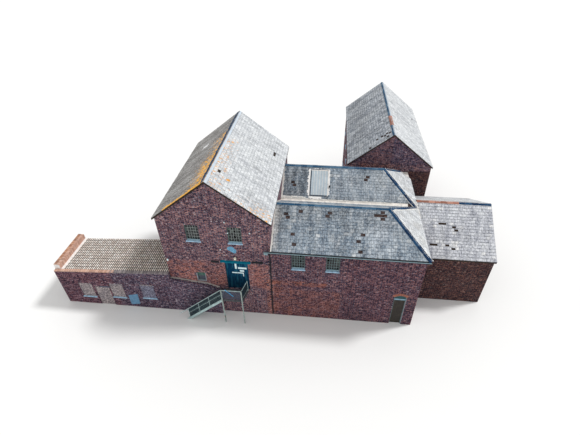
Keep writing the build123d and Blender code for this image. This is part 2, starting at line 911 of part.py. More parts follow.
def door_canopy():
    """A shallow hood over the door, with a sloping top."""
    x0 = door_left - canopy_lap
    x1 = door_right + canopy_lap
    low = door_floor + door_height + canopy_rise
    side = [(0, low), (-canopy_projection, low), (-canopy_projection, low + canopy_height / 2),
            (0, low + canopy_height)]
    corners = [(x0, y, z) for y, z in side]
    return extrude(Face(Wire.make_polygon(corners, close=True)), amount=x1 - x0, dir=(1, 0, 0))


# Landing and stair

def landing_posts():
    half = post_size / 2
    top = door_floor + rail_height
    return group([
        block(x - half, x + half, landing_front - half, landing_front + half, 0, top)
        for x in (post_left, post_right)
    ])


def landing_edge(y):
    """Right edge of the landing, which splays out from the post to the wall."""
    return landing_right + landing_splay * (y - deck_front) / -deck_front


def landing_deck():
    """An open grating in a frame of edge beams, between the posts and the wall."""
    def plan(inset, z):
        y0 = deck_front + inset
        y1 = -inset
        corners = [(landing_left + inset, y0, z), (landing_edge(y0) - inset, y0, z),
                   (landing_edge(y1) - inset, y1, z), (landing_left + inset, y1, z)]
        return Face(Wire.make_polygon(corners, close=True))

    low = door_floor - deck_beam_height
    ring = extrude(plan(0, low), amount=deck_beam_height, dir=(0, 0, 1))
    hollow = extrude(plan(deck_beam_width, low - clear), amount=deck_beam_height + 2 * clear, dir=(0, 0, 1))
    deck = ring - hollow
    inner_front = deck_front + deck_beam_width
    for y in bars(int(-deck_front / grating_pitch), inner_front, -deck_beam_width):
        x0 = landing_left + deck_beam_width / 2
        x1 = landing_edge(y) - deck_beam_width / 2
        deck = deck + block(x0, x1, y - grating_bar / 2, y + grating_bar / 2,
                            door_floor - grating_height, door_floor)
    return deck


def stair_line(x):
    """Height of the line of nosings above a place along the stair."""
    return door_floor - (landing_left - x) * pitch


def stair_stringers():
    high = door_floor + stringer_above
    low = door_floor - stringer_below
    points = [(landing_left - high / pitch, 0), (landing_left - low / pitch, 0), (landing_left, low),
              (landing_left, high)]
    starts = (stair_outer_y - stringer_thickness, stair_inner_y)
    return group([profile_along_y(points, y, y + stringer_thickness) for y in starts])


def stair_treads():
    treads = []
    for step in range(1, riser_count):
        nose = landing_left - step * going
        top = door_floor - step * riser
        treads.append(block(nose, min(nose + tread_depth, landing_left), stair_outer_y, stair_inner_y,
                            top - tread_thickness, top))
    return group(treads)


def bars(count, first, last):
    """Places of evenly spaced bars between two ends, the ends left out."""
    step = (last - first) / (count + 1)
    return [first + step * (i + 1) for i in range(count)]


def level_panel(length):
    """A flat panel of bars between two rails above the landing, drawn along local x."""
    top = door_floor + rail_height
    half = rail_size / 2
    low = door_floor + panel_foot
    parts = [block(0, length, -half, half, top - rail_size, top),
             block(0, length, -half, half, low, low + rail_size)]
    thin = baluster_size / 2
    for x in bars(int(length / baluster_pitch), 0, length):
        parts.append(block(x - thin, x + thin, -thin, thin, low, top - rail_size / 2))
    return fuse(parts)


def stair_panel():
    """The sloping handrail on its stanchions, with thin bars down to the stringer."""
    end = post_left - post_size / 2
    foot = landing_left - (door_floor - stringer_above) / pitch
    half = rail_size / 2
    top_end = door_floor + rail_height
    far = foot - handrail_reach
    drop = rail_size * math.hypot(1, pitch)
    rail = profile_along_y([(far, top_end - (end - far) * pitch), (end, top_end), (end, top_end - drop),
                            (far, top_end - (end - far) * pitch - drop)],
                           landing_front - half, landing_front + half)
    parts = [rail]
    first = foot + going
    for place in [first + (end - first) * i / stanchion_count for i in range(stanchion_count)]:
        parts.append(upright(place, rail_size))
    for x in bars(int((end - first) / baluster_pitch), first, end):
        parts.append(upright(x, baluster_size))
    return fuse(parts)


def upright(x, size):
    """A bar from the stringer's top edge into the sloping handrail."""
    half = size / 2
    rail_low = door_floor + rail_height - rail_size * math.hypot(1, pitch) / 2
    points = [(x - half, stair_line(x - half) + stringer_above),
              (x + half, stair_line(x + half) + stringer_above),
              (x + half, rail_low - (landing_left - x - half) * pitch),
              (x - half, rail_low - (landing_left - x + half) * pitch)]
    return profile_along_y(points, landing_front - half, landing_front + half)


def side_panel():
    """The panel along the splayed edge, with a short post on the deck at the wall."""
    half = wall_post / 2
    post_x = post_right + landing_splay
    run = math.hypot(landing_splay, -landing_front - half)
    turn = math.degrees(math.atan2(-landing_front - half, landing_splay))
    panel = Pos(post_right, landing_front, 0) * Rot(0, 0, turn) * level_panel(run)
    post = block(post_x - half, post_x + half, -wall_post, 0, door_floor, door_floor + rail_height)
    return panel + post - landing_posts()


def stair_railings():
    half = post_size / 2
    front = Pos(post_left + half, landing_front, 0) * level_panel(post_right - post_left - post_size)
    return group([front, side_panel(), stair_panel()])


# Rainwater goods

def half_gutter(x0, x1, y, top):
    """A half round channel with closed ends."""
    length = x1 - x0
    turn = Rot(0, 90, 0)
    middle = Pos((x0 + x1) / 2, y, top)
    outer = middle * turn * Cylinder(gutter_radius, length)
    inner = middle * turn * Cylinder(gutter_radius - gutter_wall, length - 2 * gutter_wall)
    above = block(x0 - clear, x1 + clear, y - 2 * gutter_radius, y + 2 * gutter_radius, top,
                  top + 2 * gutter_radius)
    return outer - inner - above


def front_gutter():
    """The gutter under the front eave, which laps onto the main block."""
    return half_gutter(main_width - gutter_lap, range_eave_x, gutter_y, gutter_top)


def downpipe():
    """The pipe from the gutter's underside back to the wall and down it, held by clips."""
    wall_y = -pipe_radius
    bend_top = gutter_top - gutter_radius - pipe_radius
    bend_low = bend_top - pipe_offset_drop
    points = [(pipe_x, gutter_y, gutter_top - gutter_radius), (pipe_x, gutter_y, bend_top),
              (pipe_x, wall_y, bend_low), (pipe_x, wall_y, pipe_foot)]
    path = FilletPolyline(*points, radius=pipe_radius)
    start = Plane(origin=points[0], z_dir=(0, 0, -1))
    outer = sweep(start * Circle(pipe_radius), path=path)
    inner = sweep(start * Circle(pipe_radius - pipe_wall), path=path)
    pipe = outer - inner
    for i in range(clip_count):
        z = pipe_foot + (bend_low - pipe_foot) * (i + 0.5) / clip_count
        band = block(pipe_x - pipe_radius - pipe_wall, pipe_x + pipe_radius + pipe_wall, wall_y, 0,
                     z, z + clip_height)
        bore = Cylinder(pipe_radius - pipe_wall, clip_height + clear)
        pipe = pipe + (band - Pos(pipe_x, wall_y, z + clip_height / 2) * bore)
    return pipe


def build_all():
    base, left_pier, right_pier, gable = main_front_wall()
    return {
        "main_front_base": base,
        "main_front_left_pier": left_pier,
        "main_front_right_pier": right_pier,
        "main_front_gable": gable,
        "main_back_wall": main_back_wall(),
        "main_side_walls": main_side_walls(),
        "main_roof": main_roof(),
        "ground_floors": ground_floors(),
        "upper_floors": upper_floors(),
        "range_front_wall": range_front_wall(),
        "range_end_wall": range_end_wall(),
        "range_back_wall": range_back_wall(),
        "front_range_roof": front_range_roof(),
        "rear_range_roof": rear_range_roof(),
        "lead_valley": lead_valley(),
        "rooflight_frame": rooflight_frame(),
        "link_walls": link_walls(),
        "link_roof": link_roof(),
        "wing_side_walls": wing_side_walls(),
        "wing_end_wall": wing_end_wall(),
        "wing_roof": wing_roof(),
        "rear_gable_walls": rear_gable_walls(),
        "rear_side_walls": rear_side_walls(),
        "rear_roof": rear_roof(),
        "ridge_tiles": ridge_tiles(),
        "leanto_front_wall": leanto_front_wall(),
        "leanto_walls": leanto_walls(),
        "leanto_roof": leanto_roof(),
        "wall_copings": wall_copings(),
        "opening_boards": opening_boards(),
        "window_frames": group([window_frame(window) for window in glazed_windows]),
        "window_glass": group([window_pane(window) for window in glazed_windows] + [rooflight_pane()]),
        "window_sills": group([window_sill(window) for window in large_windows + blind_windows]),
        "arched_door": arched_door(),
        "arched_door_panels": arched_door_panels(),
        "door_frame": door_frame(),
        "door_pintles": door_pintles(),
        "door_leaf_left": door_leaf(1, left_jamb + leaf_edge_gap, left_pin_x),
        "door_leaf_right": door_leaf(-1, right_jamb - leaf_edge_gap, right_pin_x),
        "door_canopy": door_canopy(),
        "landing_posts": landing_posts(),
        "landing_deck": landing_deck(),
        "stair_stringers": stair_stringers(),
        "stair_treads": stair_treads(),
        "stair_railings": stair_railings(),
        "front_gutter": front_gutter(),
        "downpipe": downpipe(),
    }


def footprint_centre(parts):
    """The middle of the whole building in plan, which becomes the origin."""
    boxes = [part.bounding_box() for part in parts.values()]
    x = (min(box.min.X for box in boxes) + max(box.max.X for box in boxes)) / 2
    y = (min(box.min.Y for box in boxes) + max(box.max.Y for box in boxes)) / 2
    return x, y


parts = build_all()
centre_x, centre_y = footprint_centre(parts)
os.makedirs("parts", exist_ok=True)
for name, part in parts.items():
    export_step(Pos(-centre_x, -centre_y, 0) * part, f"parts/{name}.step")
print("origin is at", round(centre_x, 3), round(centre_y, 3), "from the main block's corner")
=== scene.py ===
import json
import math
import random

import bpy
import numpy as np
from mathutils import Matrix, Vector


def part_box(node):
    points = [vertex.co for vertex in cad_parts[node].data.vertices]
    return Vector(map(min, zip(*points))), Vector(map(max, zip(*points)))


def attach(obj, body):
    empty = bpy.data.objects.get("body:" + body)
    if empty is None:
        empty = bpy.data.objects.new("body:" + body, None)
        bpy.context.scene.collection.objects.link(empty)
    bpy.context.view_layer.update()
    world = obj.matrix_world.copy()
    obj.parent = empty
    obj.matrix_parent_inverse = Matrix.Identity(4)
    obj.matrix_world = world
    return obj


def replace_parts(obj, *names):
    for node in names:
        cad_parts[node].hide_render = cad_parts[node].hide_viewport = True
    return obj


# The looks of an old brick works building: slates, tiles, bricks, glazing bars, paint and wear.
# Lengths are in metres. Places are measured from the main block's front left corner at ground
# level, x to the right, y to the back and z up, and CORNER moves them into the frame.

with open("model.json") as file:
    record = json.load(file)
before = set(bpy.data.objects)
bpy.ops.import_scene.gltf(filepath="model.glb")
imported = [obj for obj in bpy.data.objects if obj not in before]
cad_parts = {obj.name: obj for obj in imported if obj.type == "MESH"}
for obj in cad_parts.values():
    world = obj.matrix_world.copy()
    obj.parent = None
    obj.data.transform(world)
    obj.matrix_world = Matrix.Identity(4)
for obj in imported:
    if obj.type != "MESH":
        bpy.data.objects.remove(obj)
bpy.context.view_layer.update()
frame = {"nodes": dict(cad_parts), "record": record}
random.seed(7)
BODY = "building"
CORNER = Vector((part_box("main_front_base")[0].x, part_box("main_front_base")[0].y, 0.0))

# Camera: the photograph's viewpoint, worked out from the building's own edges
CAMERA_PLACE = Vector((10.966, -18.513, 24.199))
CAMERA_YAW = 6.538
CAMERA_PITCH = 38.161
CAMERA_ROLL = 0.816
CAMERA_FOCAL_PX = 385.716
PHOTO_WIDTH_PX = 580.0
SENSOR_MM = 36.0
FARTHEST = 500.0

# Light and floor
SUN_FROM = Vector((1.38, 0.49, 2.0))
SUN_STRENGTH = 1.9
SUN_ANGLE = 9.0
WORLD_STRENGTH = 0.75
FLOOR_SIZE = 400.0
FLOOR_DROP = 0.002
FLOOR_COLOUR = (0.86, 0.86, 0.85)

# Brickwork: one long brick and one end make a bond
COURSE = 0.075
BOND = 0.3375
STRETCHER_SHARE = 0.667
JOINT = 0.010
RELIEF = 0.005
HEAD_RELIEF = 0.006
HEAD_HEIGHT = 0.225
HEAD_LAP = 0.11
HEAD_GAP = 0.004
NARROWEST_BRICK = 0.03
SUNK = 0.002
WALL_DEPTH = 0.4
GABLE_DROP = 0.1
SIDE_DROP = 0.12
RANGE_DROP = 0.15
LEANTO_DROP = 0.55

# Slates
GAUGE = 0.235
SLATE_WIDTH = 0.28
SLATE_GAP = 0.006
SLATE_LAP = 1.10
SLATE_LIFT = 0.006
SLATE_TAIL = 0.026
SLATE_THICK = 0.008
LIFT_PLAY = 0.005
TAIL_PLAY = 0.012
NARROWEST_SLATE = 0.02
LEAST_WIDTH = 0.002
STUMP = 0.15
WING_STUMP = 0.35

# Ridge and hip tiles, and the strips of mortar and lead
RIDGE_LENGTH = 0.45
RIDGE_GAP = 0.008
RIDGE_WING = 0.17
RIDGE_LIFT = 0.028
RIDGE_THICK = 0.016
RIDGE_CROWN = 0.008
RIDGE_SHOULDER = 0.25
RIDGE_INSET = 0.003
RED_RIDGE = (12.3, 14.2)
WING_RED_SHARE = 0.57
STRIP_STEP = 0.11
STRIP_RAGGED = 0.35
STRIP_SINK = 0.7

# Lean-to tiles, one roll to a tile, with the rolls running from front to back
ROLL_PITCH = 0.154
ROLL_WIDTH = 0.092
ROLL_HEIGHT = 0.034
ROLL_TURNS = (-1.0, -0.66, -0.33, 0.0, 0.33, 0.66, 1.0)
TILE_GAUGE = 0.30
TILE_LAP = 1.08
TILE_LIFT = 0.006
TILE_TAIL = 0.020
TILE_THICK = 0.012
TILE_PLAY = 0.01
TILE_LIFT_PLAY = 0.003

# Windows and doors
BAR_WIDTH = 0.016
BAR_DEPTH = 0.030
CROSS_BAR_SHARE = 0.8
PANE_WIDTH = 0.165
PANE_HEIGHT = 0.25
PANE_THICK = 0.005
PANE_INSET = BAR_WIDTH * 0.4
PANES_LOST = 0.05
PLAIN_WINDOW = 0.65
SOLID_GLASS = 0.1
BOARD_WIDTH = 0.148
BOARD_GROOVE = 0.006
BOARD_PROUD = 0.012
BOARD_PLAY = 0.006


def corner_box(node):
    """Lowest and highest corners of a CAD node, measured from the main block's corner."""
    low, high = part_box(node)
    return low - CORNER, high - CORNER


def solids_of(node):
    """Lowest and highest corners of each separate solid in a CAD node, from the same corner."""
    piece = frame["nodes"][node]
    keys = {}
    places = [piece.matrix_world @ vertex.co - CORNER for vertex in piece.data.vertices]
    names = [keys.setdefault(tuple(round(c, 4) for c in place), len(keys)) for place in places]
    owner = list(range(len(keys)))

    def root(i):
        while owner[i] != i:
            owner[i] = owner[owner[i]]
            i = owner[i]
        return i

    for polygon in piece.data.polygons:
        first = root(names[polygon.vertices[0]])
        for vertex in polygon.vertices[1:]:
            owner[root(names[vertex])] = first
    groups = {}
    for place, name in zip(places, names):
        groups.setdefault(root(name), []).append(place)
    return [(Vector(map(min, zip(*points))), Vector(map(max, zip(*points)))) for points in groups.values()]


# Materials: short ways to build a node tree

ZONE_WAVE = 2.5
ZONE_DETAIL = 5.0
ZONE_EDGE = 0.05
ZONE_COVER = 0.9
# Soft edge and cover of the painted sunlight on the ridge tiles' wings that face the light
LIT_WING_EDGE = 0.015
LIT_WING_COVER = 0.85


class Nodes:
    """A material's node tree, with short ways to add nodes and link them."""

    def __init__(self, name):
        self.material = bpy.data.materials.new(name)
        self.material.use_nodes = True
        self.tree = self.material.node_tree
        self.tree.nodes.clear()
        self.out = self.add("ShaderNodeOutputMaterial")
        self.place = self.add("ShaderNodeTexCoord").outputs["Object"]

    def add(self, kind, **settings):
        node = self.tree.nodes.new(kind)
        for key, value in settings.items():
            setattr(node, key, value)
        return node

    def feed(self, value, socket):
        """A number, a colour or another node's output goes into a socket."""
        if isinstance(value, bpy.types.NodeSocket):
            self.tree.links.new(value, socket)
        elif isinstance(value, tuple) and len(value) == 3 and socket.type == "RGBA":
            socket.default_value = (*value, 1.0)
        else:
            socket.default_value = value

    def math(self, operation, a, b=0.0):
        node = self.add("ShaderNodeMath", operation=operation)
        self.feed(a, node.inputs[0])
        self.feed(b, node.inputs[1])
        return node.outputs[0]

    def times(self, *values):
        total = values[0]
        for value in values[1:]:
            total = self.math("MULTIPLY", total, value)
        return total

    def split(self, vector):
        node = self.add("ShaderNodeSeparateXYZ")
        self.feed(vector, node.inputs[0])
        return node.outputs

    def noise(self, scale, detail=4.0, stretch=(1.0, 1.0, 1.0), roughness=0.6):
        """Cloudy noise over the model at rest, squeezed or stretched along the axes."""
        scaled = self.add("ShaderNodeVectorMath", operation="MULTIPLY")
        self.feed(self.place, scaled.inputs[0])
        scaled.inputs[1].default_value = stretch
        node = self.add("ShaderNodeTexNoise")
        node.inputs["Scale"].default_value = scale
        node.inputs["Detail"].default_value = detail
        node.inputs["Roughness"].default_value = roughness
        self.feed(scaled.outputs[0], node.inputs["Vector"])
        return node.outputs["Fac"]

    def ramp(self, value, stops):
        """Colours along a value: stops is a list of (position, colour)."""
        node = self.add("ShaderNodeValToRGB")
        elements = node.color_ramp.elements
        while len(elements) < len(stops):
            elements.new(0.5)
        for element, (position, colour) in zip(elements, stops):
            element.position = position
            element.color = (*colour, 1.0)
        self.feed(value, node.inputs[0])
        return node.outputs[0]

    def band(self, value, low, high):
        """0 at low, 1 at high and even between; low may be the larger."""
        node = self.add("ShaderNodeMapRange", clamp=True)
        self.feed(value, node.inputs[0])
        node.inputs[1].default_value = low
        node.inputs[2].default_value = high
        return node.outputs[0]

    def mix(self, factor, a, b, blend="MIX"):
        node = self.add("ShaderNodeMix", data_type="RGBA", blend_type=blend)
        self.feed(factor, node.inputs["Factor"])
        self.feed(a, node.inputs[6])
        self.feed(b, node.inputs[7])
        return node.outputs[2]

    def over(self, colour, tone, value, span, *amounts, blend="MIX"):
        """A tone laid over a colour, from none of it at the span's start to all of it at its end."""
        return self.mix(self.times(self.band(value, *span), *amounts), colour, tone, blend)

    def darken(self, colour, tone, value, span, *amounts):
        """The same, with the colour multiplied by the tone."""
        return self.over(colour, tone, value, span, *amounts, blend="MULTIPLY")

    def tint(self):
        return self.add("ShaderNodeAttribute", attribute_name="tint").outputs["Fac"]

    def edge(self, side, tail, sides=1.0):
        """1 along a slate's or tile's tail and as much as sides along its sides, by its corner marks."""
        marks = self.add("ShaderNodeAttribute", attribute_name="marks")
        across, along, _ = self.split(marks.outputs["Vector"])
        off_middle = self.math("ABSOLUTE", self.math("SUBTRACT", across, 0.5))
        flanks = self.times(self.band(off_middle, 0.5 - side, 0.5), sides)
        return self.math("MAXIMUM", flanks, self.band(along, tail, 0.0))

    def bump(self, height, distance):
        node = self.add("ShaderNodeBump")
        node.inputs["Distance"].default_value = distance
        self.feed(height, node.inputs["Height"])
        return node.outputs[0]

    def zone(self, low, high, soft, ragged=0.0):
        """1 inside a box measured from the corner and 0 outside it, with soft or ragged edges."""
        place = self.place
        if ragged:
            wave = self.add("ShaderNodeTexNoise")
            wave.inputs["Scale"].default_value = ZONE_WAVE
            wave.inputs["Detail"].default_value = ZONE_DETAIL
            self.feed(place, wave.inputs["Vector"])
            shift = self.add("ShaderNodeVectorMath", operation="MULTIPLY_ADD")
            self.feed(wave.outputs["Color"], shift.inputs[0])
            shift.inputs[1].default_value = (ragged, ragged, ragged)
            self.feed(place, shift.inputs[2])
            place = shift.outputs[0]
        total = 1.0
        for axis, value in enumerate(self.split(place)):
            start = low[axis] + CORNER[axis] + ragged / 2
            end = high[axis] + CORNER[axis] + ragged / 2
            inside = self.times(self.band(value, start - soft, start + soft),
                                self.band(value, end + soft, end - soft))
            total = self.times(total, inside)
        return total

    def finish(self, colour, roughness=0.8, normal=None, specular=0.3):
        shader = self.add("ShaderNodeBsdfPrincipled")
        self.feed(colour, shader.inputs["Base Color"])
        self.feed(roughness, shader.inputs["Roughness"])
        shader.inputs["Specular IOR Level"].default_value = specular
        if normal:
            self.feed(normal, shader.inputs["Normal"])
        self.feed(shader.outputs[0], self.out.inputs[0])
        return self.material


def even(*colours):
    """Stops for a ramp whose colours are spread evenly from 0 to 1."""
    return [(i / (len(colours) - 1), colour) for i, colour in enumerate(colours)]


# Brick

OLD_BRICKS = [(0.0, (0.070, 0.038, 0.055)), (0.3, (0.155, 0.076, 0.092)), (0.7, (0.260, 0.112, 0.115)),
              (1.0, (0.46, 0.24, 0.21))]
OLD_HEADERS = [(0.0, (0.012, 0.018, 0.045)), (0.6, (0.052, 0.062, 0.110)), (0.9, (0.13, 0.14, 0.20)),
               (1.0, (0.50, 0.47, 0.50))]
LEANTO_BRICKS = [(0.0, (0.060, 0.030, 0.045)), (0.4, (0.135, 0.055, 0.066)), (0.75, (0.215, 0.082, 0.085)),
                 (1.0, (0.40, 0.25, 0.26))]
OLD_MORTAR = (0.30, 0.27, 0.29)
LEANTO_MORTAR = (0.26, 0.22, 0.27)
SOOT = (0.030, 0.027, 0.042)
BRICK_BURNT = (0.22, 0.26, 0.42)
BRICK_WORN = (0.44, 0.29, 0.30)
BRICK_SALT = (0.62, 0.58, 0.62)
COPING_GROWTH = (0.22, 0.20, 0.20)
WALL_ZONE_EDGE = (0.08, 0.25)
MORTAR_COVER = 0.6
FACING = 0.7


def bond_pattern(m):
    """Long bricks and ends by turns: a random tint, a mask of ends and a mask of joints."""
    x, y, z = m.split(m.place)
    normal = m.split(m.add("ShaderNodeNewGeometry").outputs["Normal"])
    sideways = m.math("GREATER_THAN", m.math("ABSOLUTE", normal[0]), FACING)
    flat = m.math("GREATER_THAN", m.math("ABSOLUTE", normal[2]), FACING)
    along = m.math("ADD", m.times(y, sideways), m.times(x, m.math("SUBTRACT", 1.0, sideways)))
    up = m.math("ADD", m.times(y, flat), m.times(z, m.math("SUBTRACT", 1.0, flat)))
    level = m.math("DIVIDE", up, COURSE)
    course = m.math("FLOOR", level)
    shift = m.times(m.math("FLOORED_MODULO", course, 2.0), 0.5)
    run = m.math("ADD", m.math("DIVIDE", along, BOND), shift)
    share = m.math("FRACT", run)
    header = m.math("GREATER_THAN", share, STRETCHER_SHARE)
    cell = m.add("ShaderNodeCombineXYZ")
    m.feed(m.math("ADD", m.times(m.math("FLOOR", run), 2.0), header), cell.inputs[0])
    m.feed(course, cell.inputs[1])
    m.feed(sideways, cell.inputs[2])
    chance = m.add("ShaderNodeTexWhiteNoise", noise_dimensions="3D")
    m.feed(cell.outputs[0], chance.inputs["Vector"])
    past = m.math("SUBTRACT", share, STRETCHER_SHARE)
    middle = m.times(m.math("GREATER_THAN", past, 0.0), m.math("LESS_THAN", past, JOINT / BOND))
    bed = m.math("LESS_THAN", m.math("FRACT", level), JOINT / COURSE)
    joint = m.math("MAXIMUM", bed, m.math("MAXIMUM", m.math("LESS_THAN", share, JOINT / BOND), middle))
    return chance.outputs["Value"], header, joint


def brick_material(name, bricks, mortar, zones=(), shades=()):
    """Old brickwork with a tint for each brick.

    zones are (low, high, colour, strength), where many bricks are of another kind; shades are
    (low, high, tone), where the whole wall is darker.
    """
    m = Nodes(name)
    tint, header, joint = bond_pattern(m)
    brick = m.mix(header, m.ramp(tint, bricks), m.ramp(tint, OLD_HEADERS))
    for low, high, colour, strength in zones:
        patchy = m.band(m.noise(1.1, 5.0), 0.25, 0.55)
        some = m.band(tint, 0.20, 0.42)
        brick = m.mix(m.times(m.zone(low, high, *WALL_ZONE_EDGE), patchy, strength, some), brick, colour)
    colour = m.mix(m.times(joint, MORTAR_COVER), brick, mortar)
    colour = m.over(colour, SOOT, m.noise(0.55, 6.0, (1.0, 1.0, 0.6)), (0.45, 0.75), 0.35)
    patch = m.noise(10.0, 3.0, roughness=0.8)
    colour = m.darken(colour, BRICK_BURNT, patch, (0.52, 0.38))
    colour = m.over(colour, BRICK_WORN, patch, (0.50, 0.64), 0.36, blend="ADD")
    colour = m.over(colour, BRICK_SALT, m.noise(13.0, 4.0), (0.62, 0.68), 0.7)
    for low, high, tone in shades:
        colour = m.mix(m.zone(low, high, *WALL_ZONE_EDGE), colour, tone, "MULTIPLY")
    height = m.math("SUBTRACT", m.times(m.noise(70.0, 3.0), 0.3), joint)
    return m.finish(colour, roughness=0.92, normal=m.bump(height, distance=0.005), specular=0.15)


def coping_material(name, stops, growth):
    """Weathered bricks on end with grey growth."""
    m = Nodes(name)
    colour = m.over(m.ramp(m.tint(), stops), COPING_GROWTH, m.noise(3.0, 6.0), (0.45, 0.7), growth)
    return m.finish(colour, roughness=0.9, normal=m.bump(m.noise(60.0), distance=0.004), specular=0.2)


# Roofs

LICHEN = (0.80, 0.34, 0.03)
LICHEN_SHADED = (1.0, 0.50, 0.06)
LICHEN_BROWN = (0.48, 0.31, 0.14)
LICHEN_GRAIN = (0.6, 1.4, 0.6)
LICHEN_RAGGED = 0.5
SHADE_RAGGED = 0.6
PALE_FILM = (0.70, 0.73, 0.74)
DULL_FILM = (0.62, 0.63, 0.66)
PALE_STREAK = (0.60, 0.62, 0.63)
DARK_STREAK = (0.48, 0.48, 0.48)
SLATE_GRAIN = (0.66, 0.66, 0.66)
# Tone of the dark joints, and of the dirt and painted shade along each slate's tail
SLATE_JOINT_SHADE = (0.12, 0.13, 0.16)
DARK_MOTTLE = (0.32, 0.34, 0.37)
PALE_MOTTLE = (0.92, 0.93, 0.93)
PALE_CRUST = (0.74, 0.74, 0.72)


def slate_material(name, stops, stain, stain_amount, stretch, bloom, shades=(), lichen=(), joints=0.6,
                   sides=0.7, growth=LICHEN):
    """Slates: a tint for each, dark joints, a dark band at each tail that is dirt and painted shade, cloudy
    stains, streaks down the slope and pale specks.

    stretch runs the streaks down the slope; shades are zones (low, high, soft, tone, amount) and
    lichen zones (low, high, soft, amount); sides is how dark the side joints are next to the tails.
    """
    m = Nodes(name)
    colour = m.over(m.ramp(m.tint(), stops), stain, m.noise(0.9, 5.0, roughness=0.65), (0.46, 0.68),
                    stain_amount)
    for low, high, soft, tone, amount in shades:
        patchy = m.band(m.noise(1.6, 5.0), 0.30, 0.60)
        colour = m.mix(m.times(m.zone(low, high, soft, SHADE_RAGGED), patchy, amount), colour, tone)
    wide = m.noise(1.4, 3.0, stretch)
    colour = m.over(colour, PALE_FILM, wide, (0.50, 0.62), 0.25)
    colour = m.darken(colour, DULL_FILM, wide, (0.50, 0.38), joints)
    streak = m.noise(2.6, 6.0, stretch, 0.7)
    colour = m.over(colour, PALE_STREAK, streak, (0.52, 0.70), bloom)
    colour = m.darken(colour, DARK_STREAK, streak, (0.48, 0.32), 0.75)
    colour = m.darken(colour, SLATE_GRAIN, m.noise(20.0, 6.0, roughness=0.8), (0.48, 0.64))
    # Dark joints at the sides, and a dark band along each tail: dirt and painted shade under the tails
    joint_and_tail_shade = m.edge(side=0.12, tail=0.22, sides=sides)
    colour = m.mix(m.times(joint_and_tail_shade, joints), colour, SLATE_JOINT_SHADE, "MULTIPLY")
    mottle = m.noise(9.0, 3.0, roughness=0.8)
    colour = m.darken(colour, DARK_MOTTLE, mottle, (0.50, 0.34), joints)
    colour = m.over(colour, PALE_MOTTLE, mottle, (0.52, 0.68), joints, 0.55)
    colour = m.over(colour, PALE_CRUST, m.noise(7.0, 6.0, roughness=0.75), (0.61, 0.66), 0.55)
    for low, high, soft, amount in lichen:
        edge = m.zone(low, high, soft, LICHEN_RAGGED)
        cover = m.math("ADD", m.noise(7.0, 2.5, LICHEN_GRAIN), m.times(edge, amount))
        spots = m.band(cover, 0.66, 0.70)
        tone = m.over(growth, LICHEN_BROWN, m.noise(13.0, 4.0), (0.54, 0.66))
        colour = m.mix(m.times(spots, m.band(edge, 0.05, 0.35)), colour, tone)
    return m.finish(colour, roughness=0.85, normal=m.bump(m.noise(30.0, 5.0), distance=0.004), specular=0.2)


def mottled(name, colour, spread, roughness, scale, specular=0.3, stain=None, stain_amount=0.5, zones=()):
    """A painted, cast or rendered surface: mottled tone, stains and fine grain.

    zones are boxes (low, high, tone) of another tone.
    """
    m = Nodes(name)
    cloud = m.noise(scale, 6.0)
    dark = tuple(c * (1.0 - spread) for c in colour)
    light = tuple(min(1.0, c * (1.0 + spread)) for c in colour)
    tone = m.ramp(cloud, [(0.32, dark), (0.68, light)])
    for low, high, other in zones:
        tone = m.mix(m.times(m.zone(low, high, ZONE_EDGE), ZONE_COVER), tone, other)
    if stain:
        tone = m.over(tone, stain, m.noise(scale * 2.3, 6.0, (1.0, 1.0, 0.4)), (0.55, 0.68), stain_amount)
    rough = m.math("ADD", m.times(m.noise(scale * 5), 0.15), roughness - 0.08)
    return m.finish(tone, rough, m.bump(m.noise(scale * 12, 4.0), distance=0.002), specular)


def tinted(name, stops, roughness, stain, stain_amount, specular=0.3, scale=7.0, lit_wings=()):
    """A material whose tone differs from piece to piece by the mesh's tint, with stains over it.

    wings are the boxes (low, high, tone) over the sides of ridge tiles that face the light, where a paler
    tone is painted on as painted sunlight.
    """
    m = Nodes(name)
    tone = m.ramp(m.tint(), stops)
    # Painted sunlight: a paler tone on the tile wings that face the light
    for low, high, other in lit_wings:
        tone = m.mix(m.times(m.zone(low, high, LIT_WING_EDGE), LIT_WING_COVER), tone, other)
    tone = m.over(tone, stain, m.noise(scale, 6.0), (0.45, 0.72), stain_amount)
    return m.finish(tone, roughness, m.bump(m.noise(scale * 6, 4.0), distance=0.003), specular)


def wood_material(name, stops, grain_axis, weather):
    """Old boards: long grain and weathered patches."""
    m = Nodes(name)
    stretch = tuple(0.12 if axis == grain_axis else 1.0 for axis in range(3))
    grain = m.noise(38.0, 6.0, stretch)
    tone = m.over(m.ramp(grain, stops), weather, m.noise(2.6, 5.0), (0.45, 0.7), 0.5)
    return m.finish(tone, roughness=0.88, normal=m.bump(grain, distance=0.004), specular=0.2)


FLAKED_SKIM = [(0.36, (0.065, 0.060, 0.080)), (0.47, (0.21, 0.180, 0.190)), (0.55, (0.40, 0.345, 0.34)),
               (0.66, (0.74, 0.66, 0.65))]
SKIM_DAMP = (0.17, 0.16, 0.20)
BLUE_SKIM = ((-2.7, -0.5, 0.5), (-1.3, 0.2, 2.5), (0.58, 0.66, 0.86))


def closing_material():
    """Boarded openings with a rough skim that has flaked in spots, bluer on the right-most."""
    m = Nodes("closing_boards")
    speck = m.noise(12.0, 4.0, roughness=0.8)
    tone = m.over(m.ramp(speck, FLAKED_SKIM), SKIM_DAMP, m.noise(1.8, 4.0), (0.45, 0.65), 0.35)
    low, high, blue = BLUE_SKIM
    tone = m.mix(m.zone(low, high, ZONE_EDGE), tone, blue, "MULTIPLY")
    return m.finish(tone, roughness=0.9, normal=m.bump(speck, distance=0.004), specular=0.2)


DOOR_TEAL = [(0.25, (0.000, 0.013, 0.036)), (0.55, (0.000, 0.038, 0.094)), (0.85, (0.003, 0.12, 0.24))]
DOOR_FADED = (0.025, 0.17, 0.26)
DOOR_DIRT = (0.001, 0.014, 0.030)
DOOR_DIRT_TOP = (3.1, 4.2)


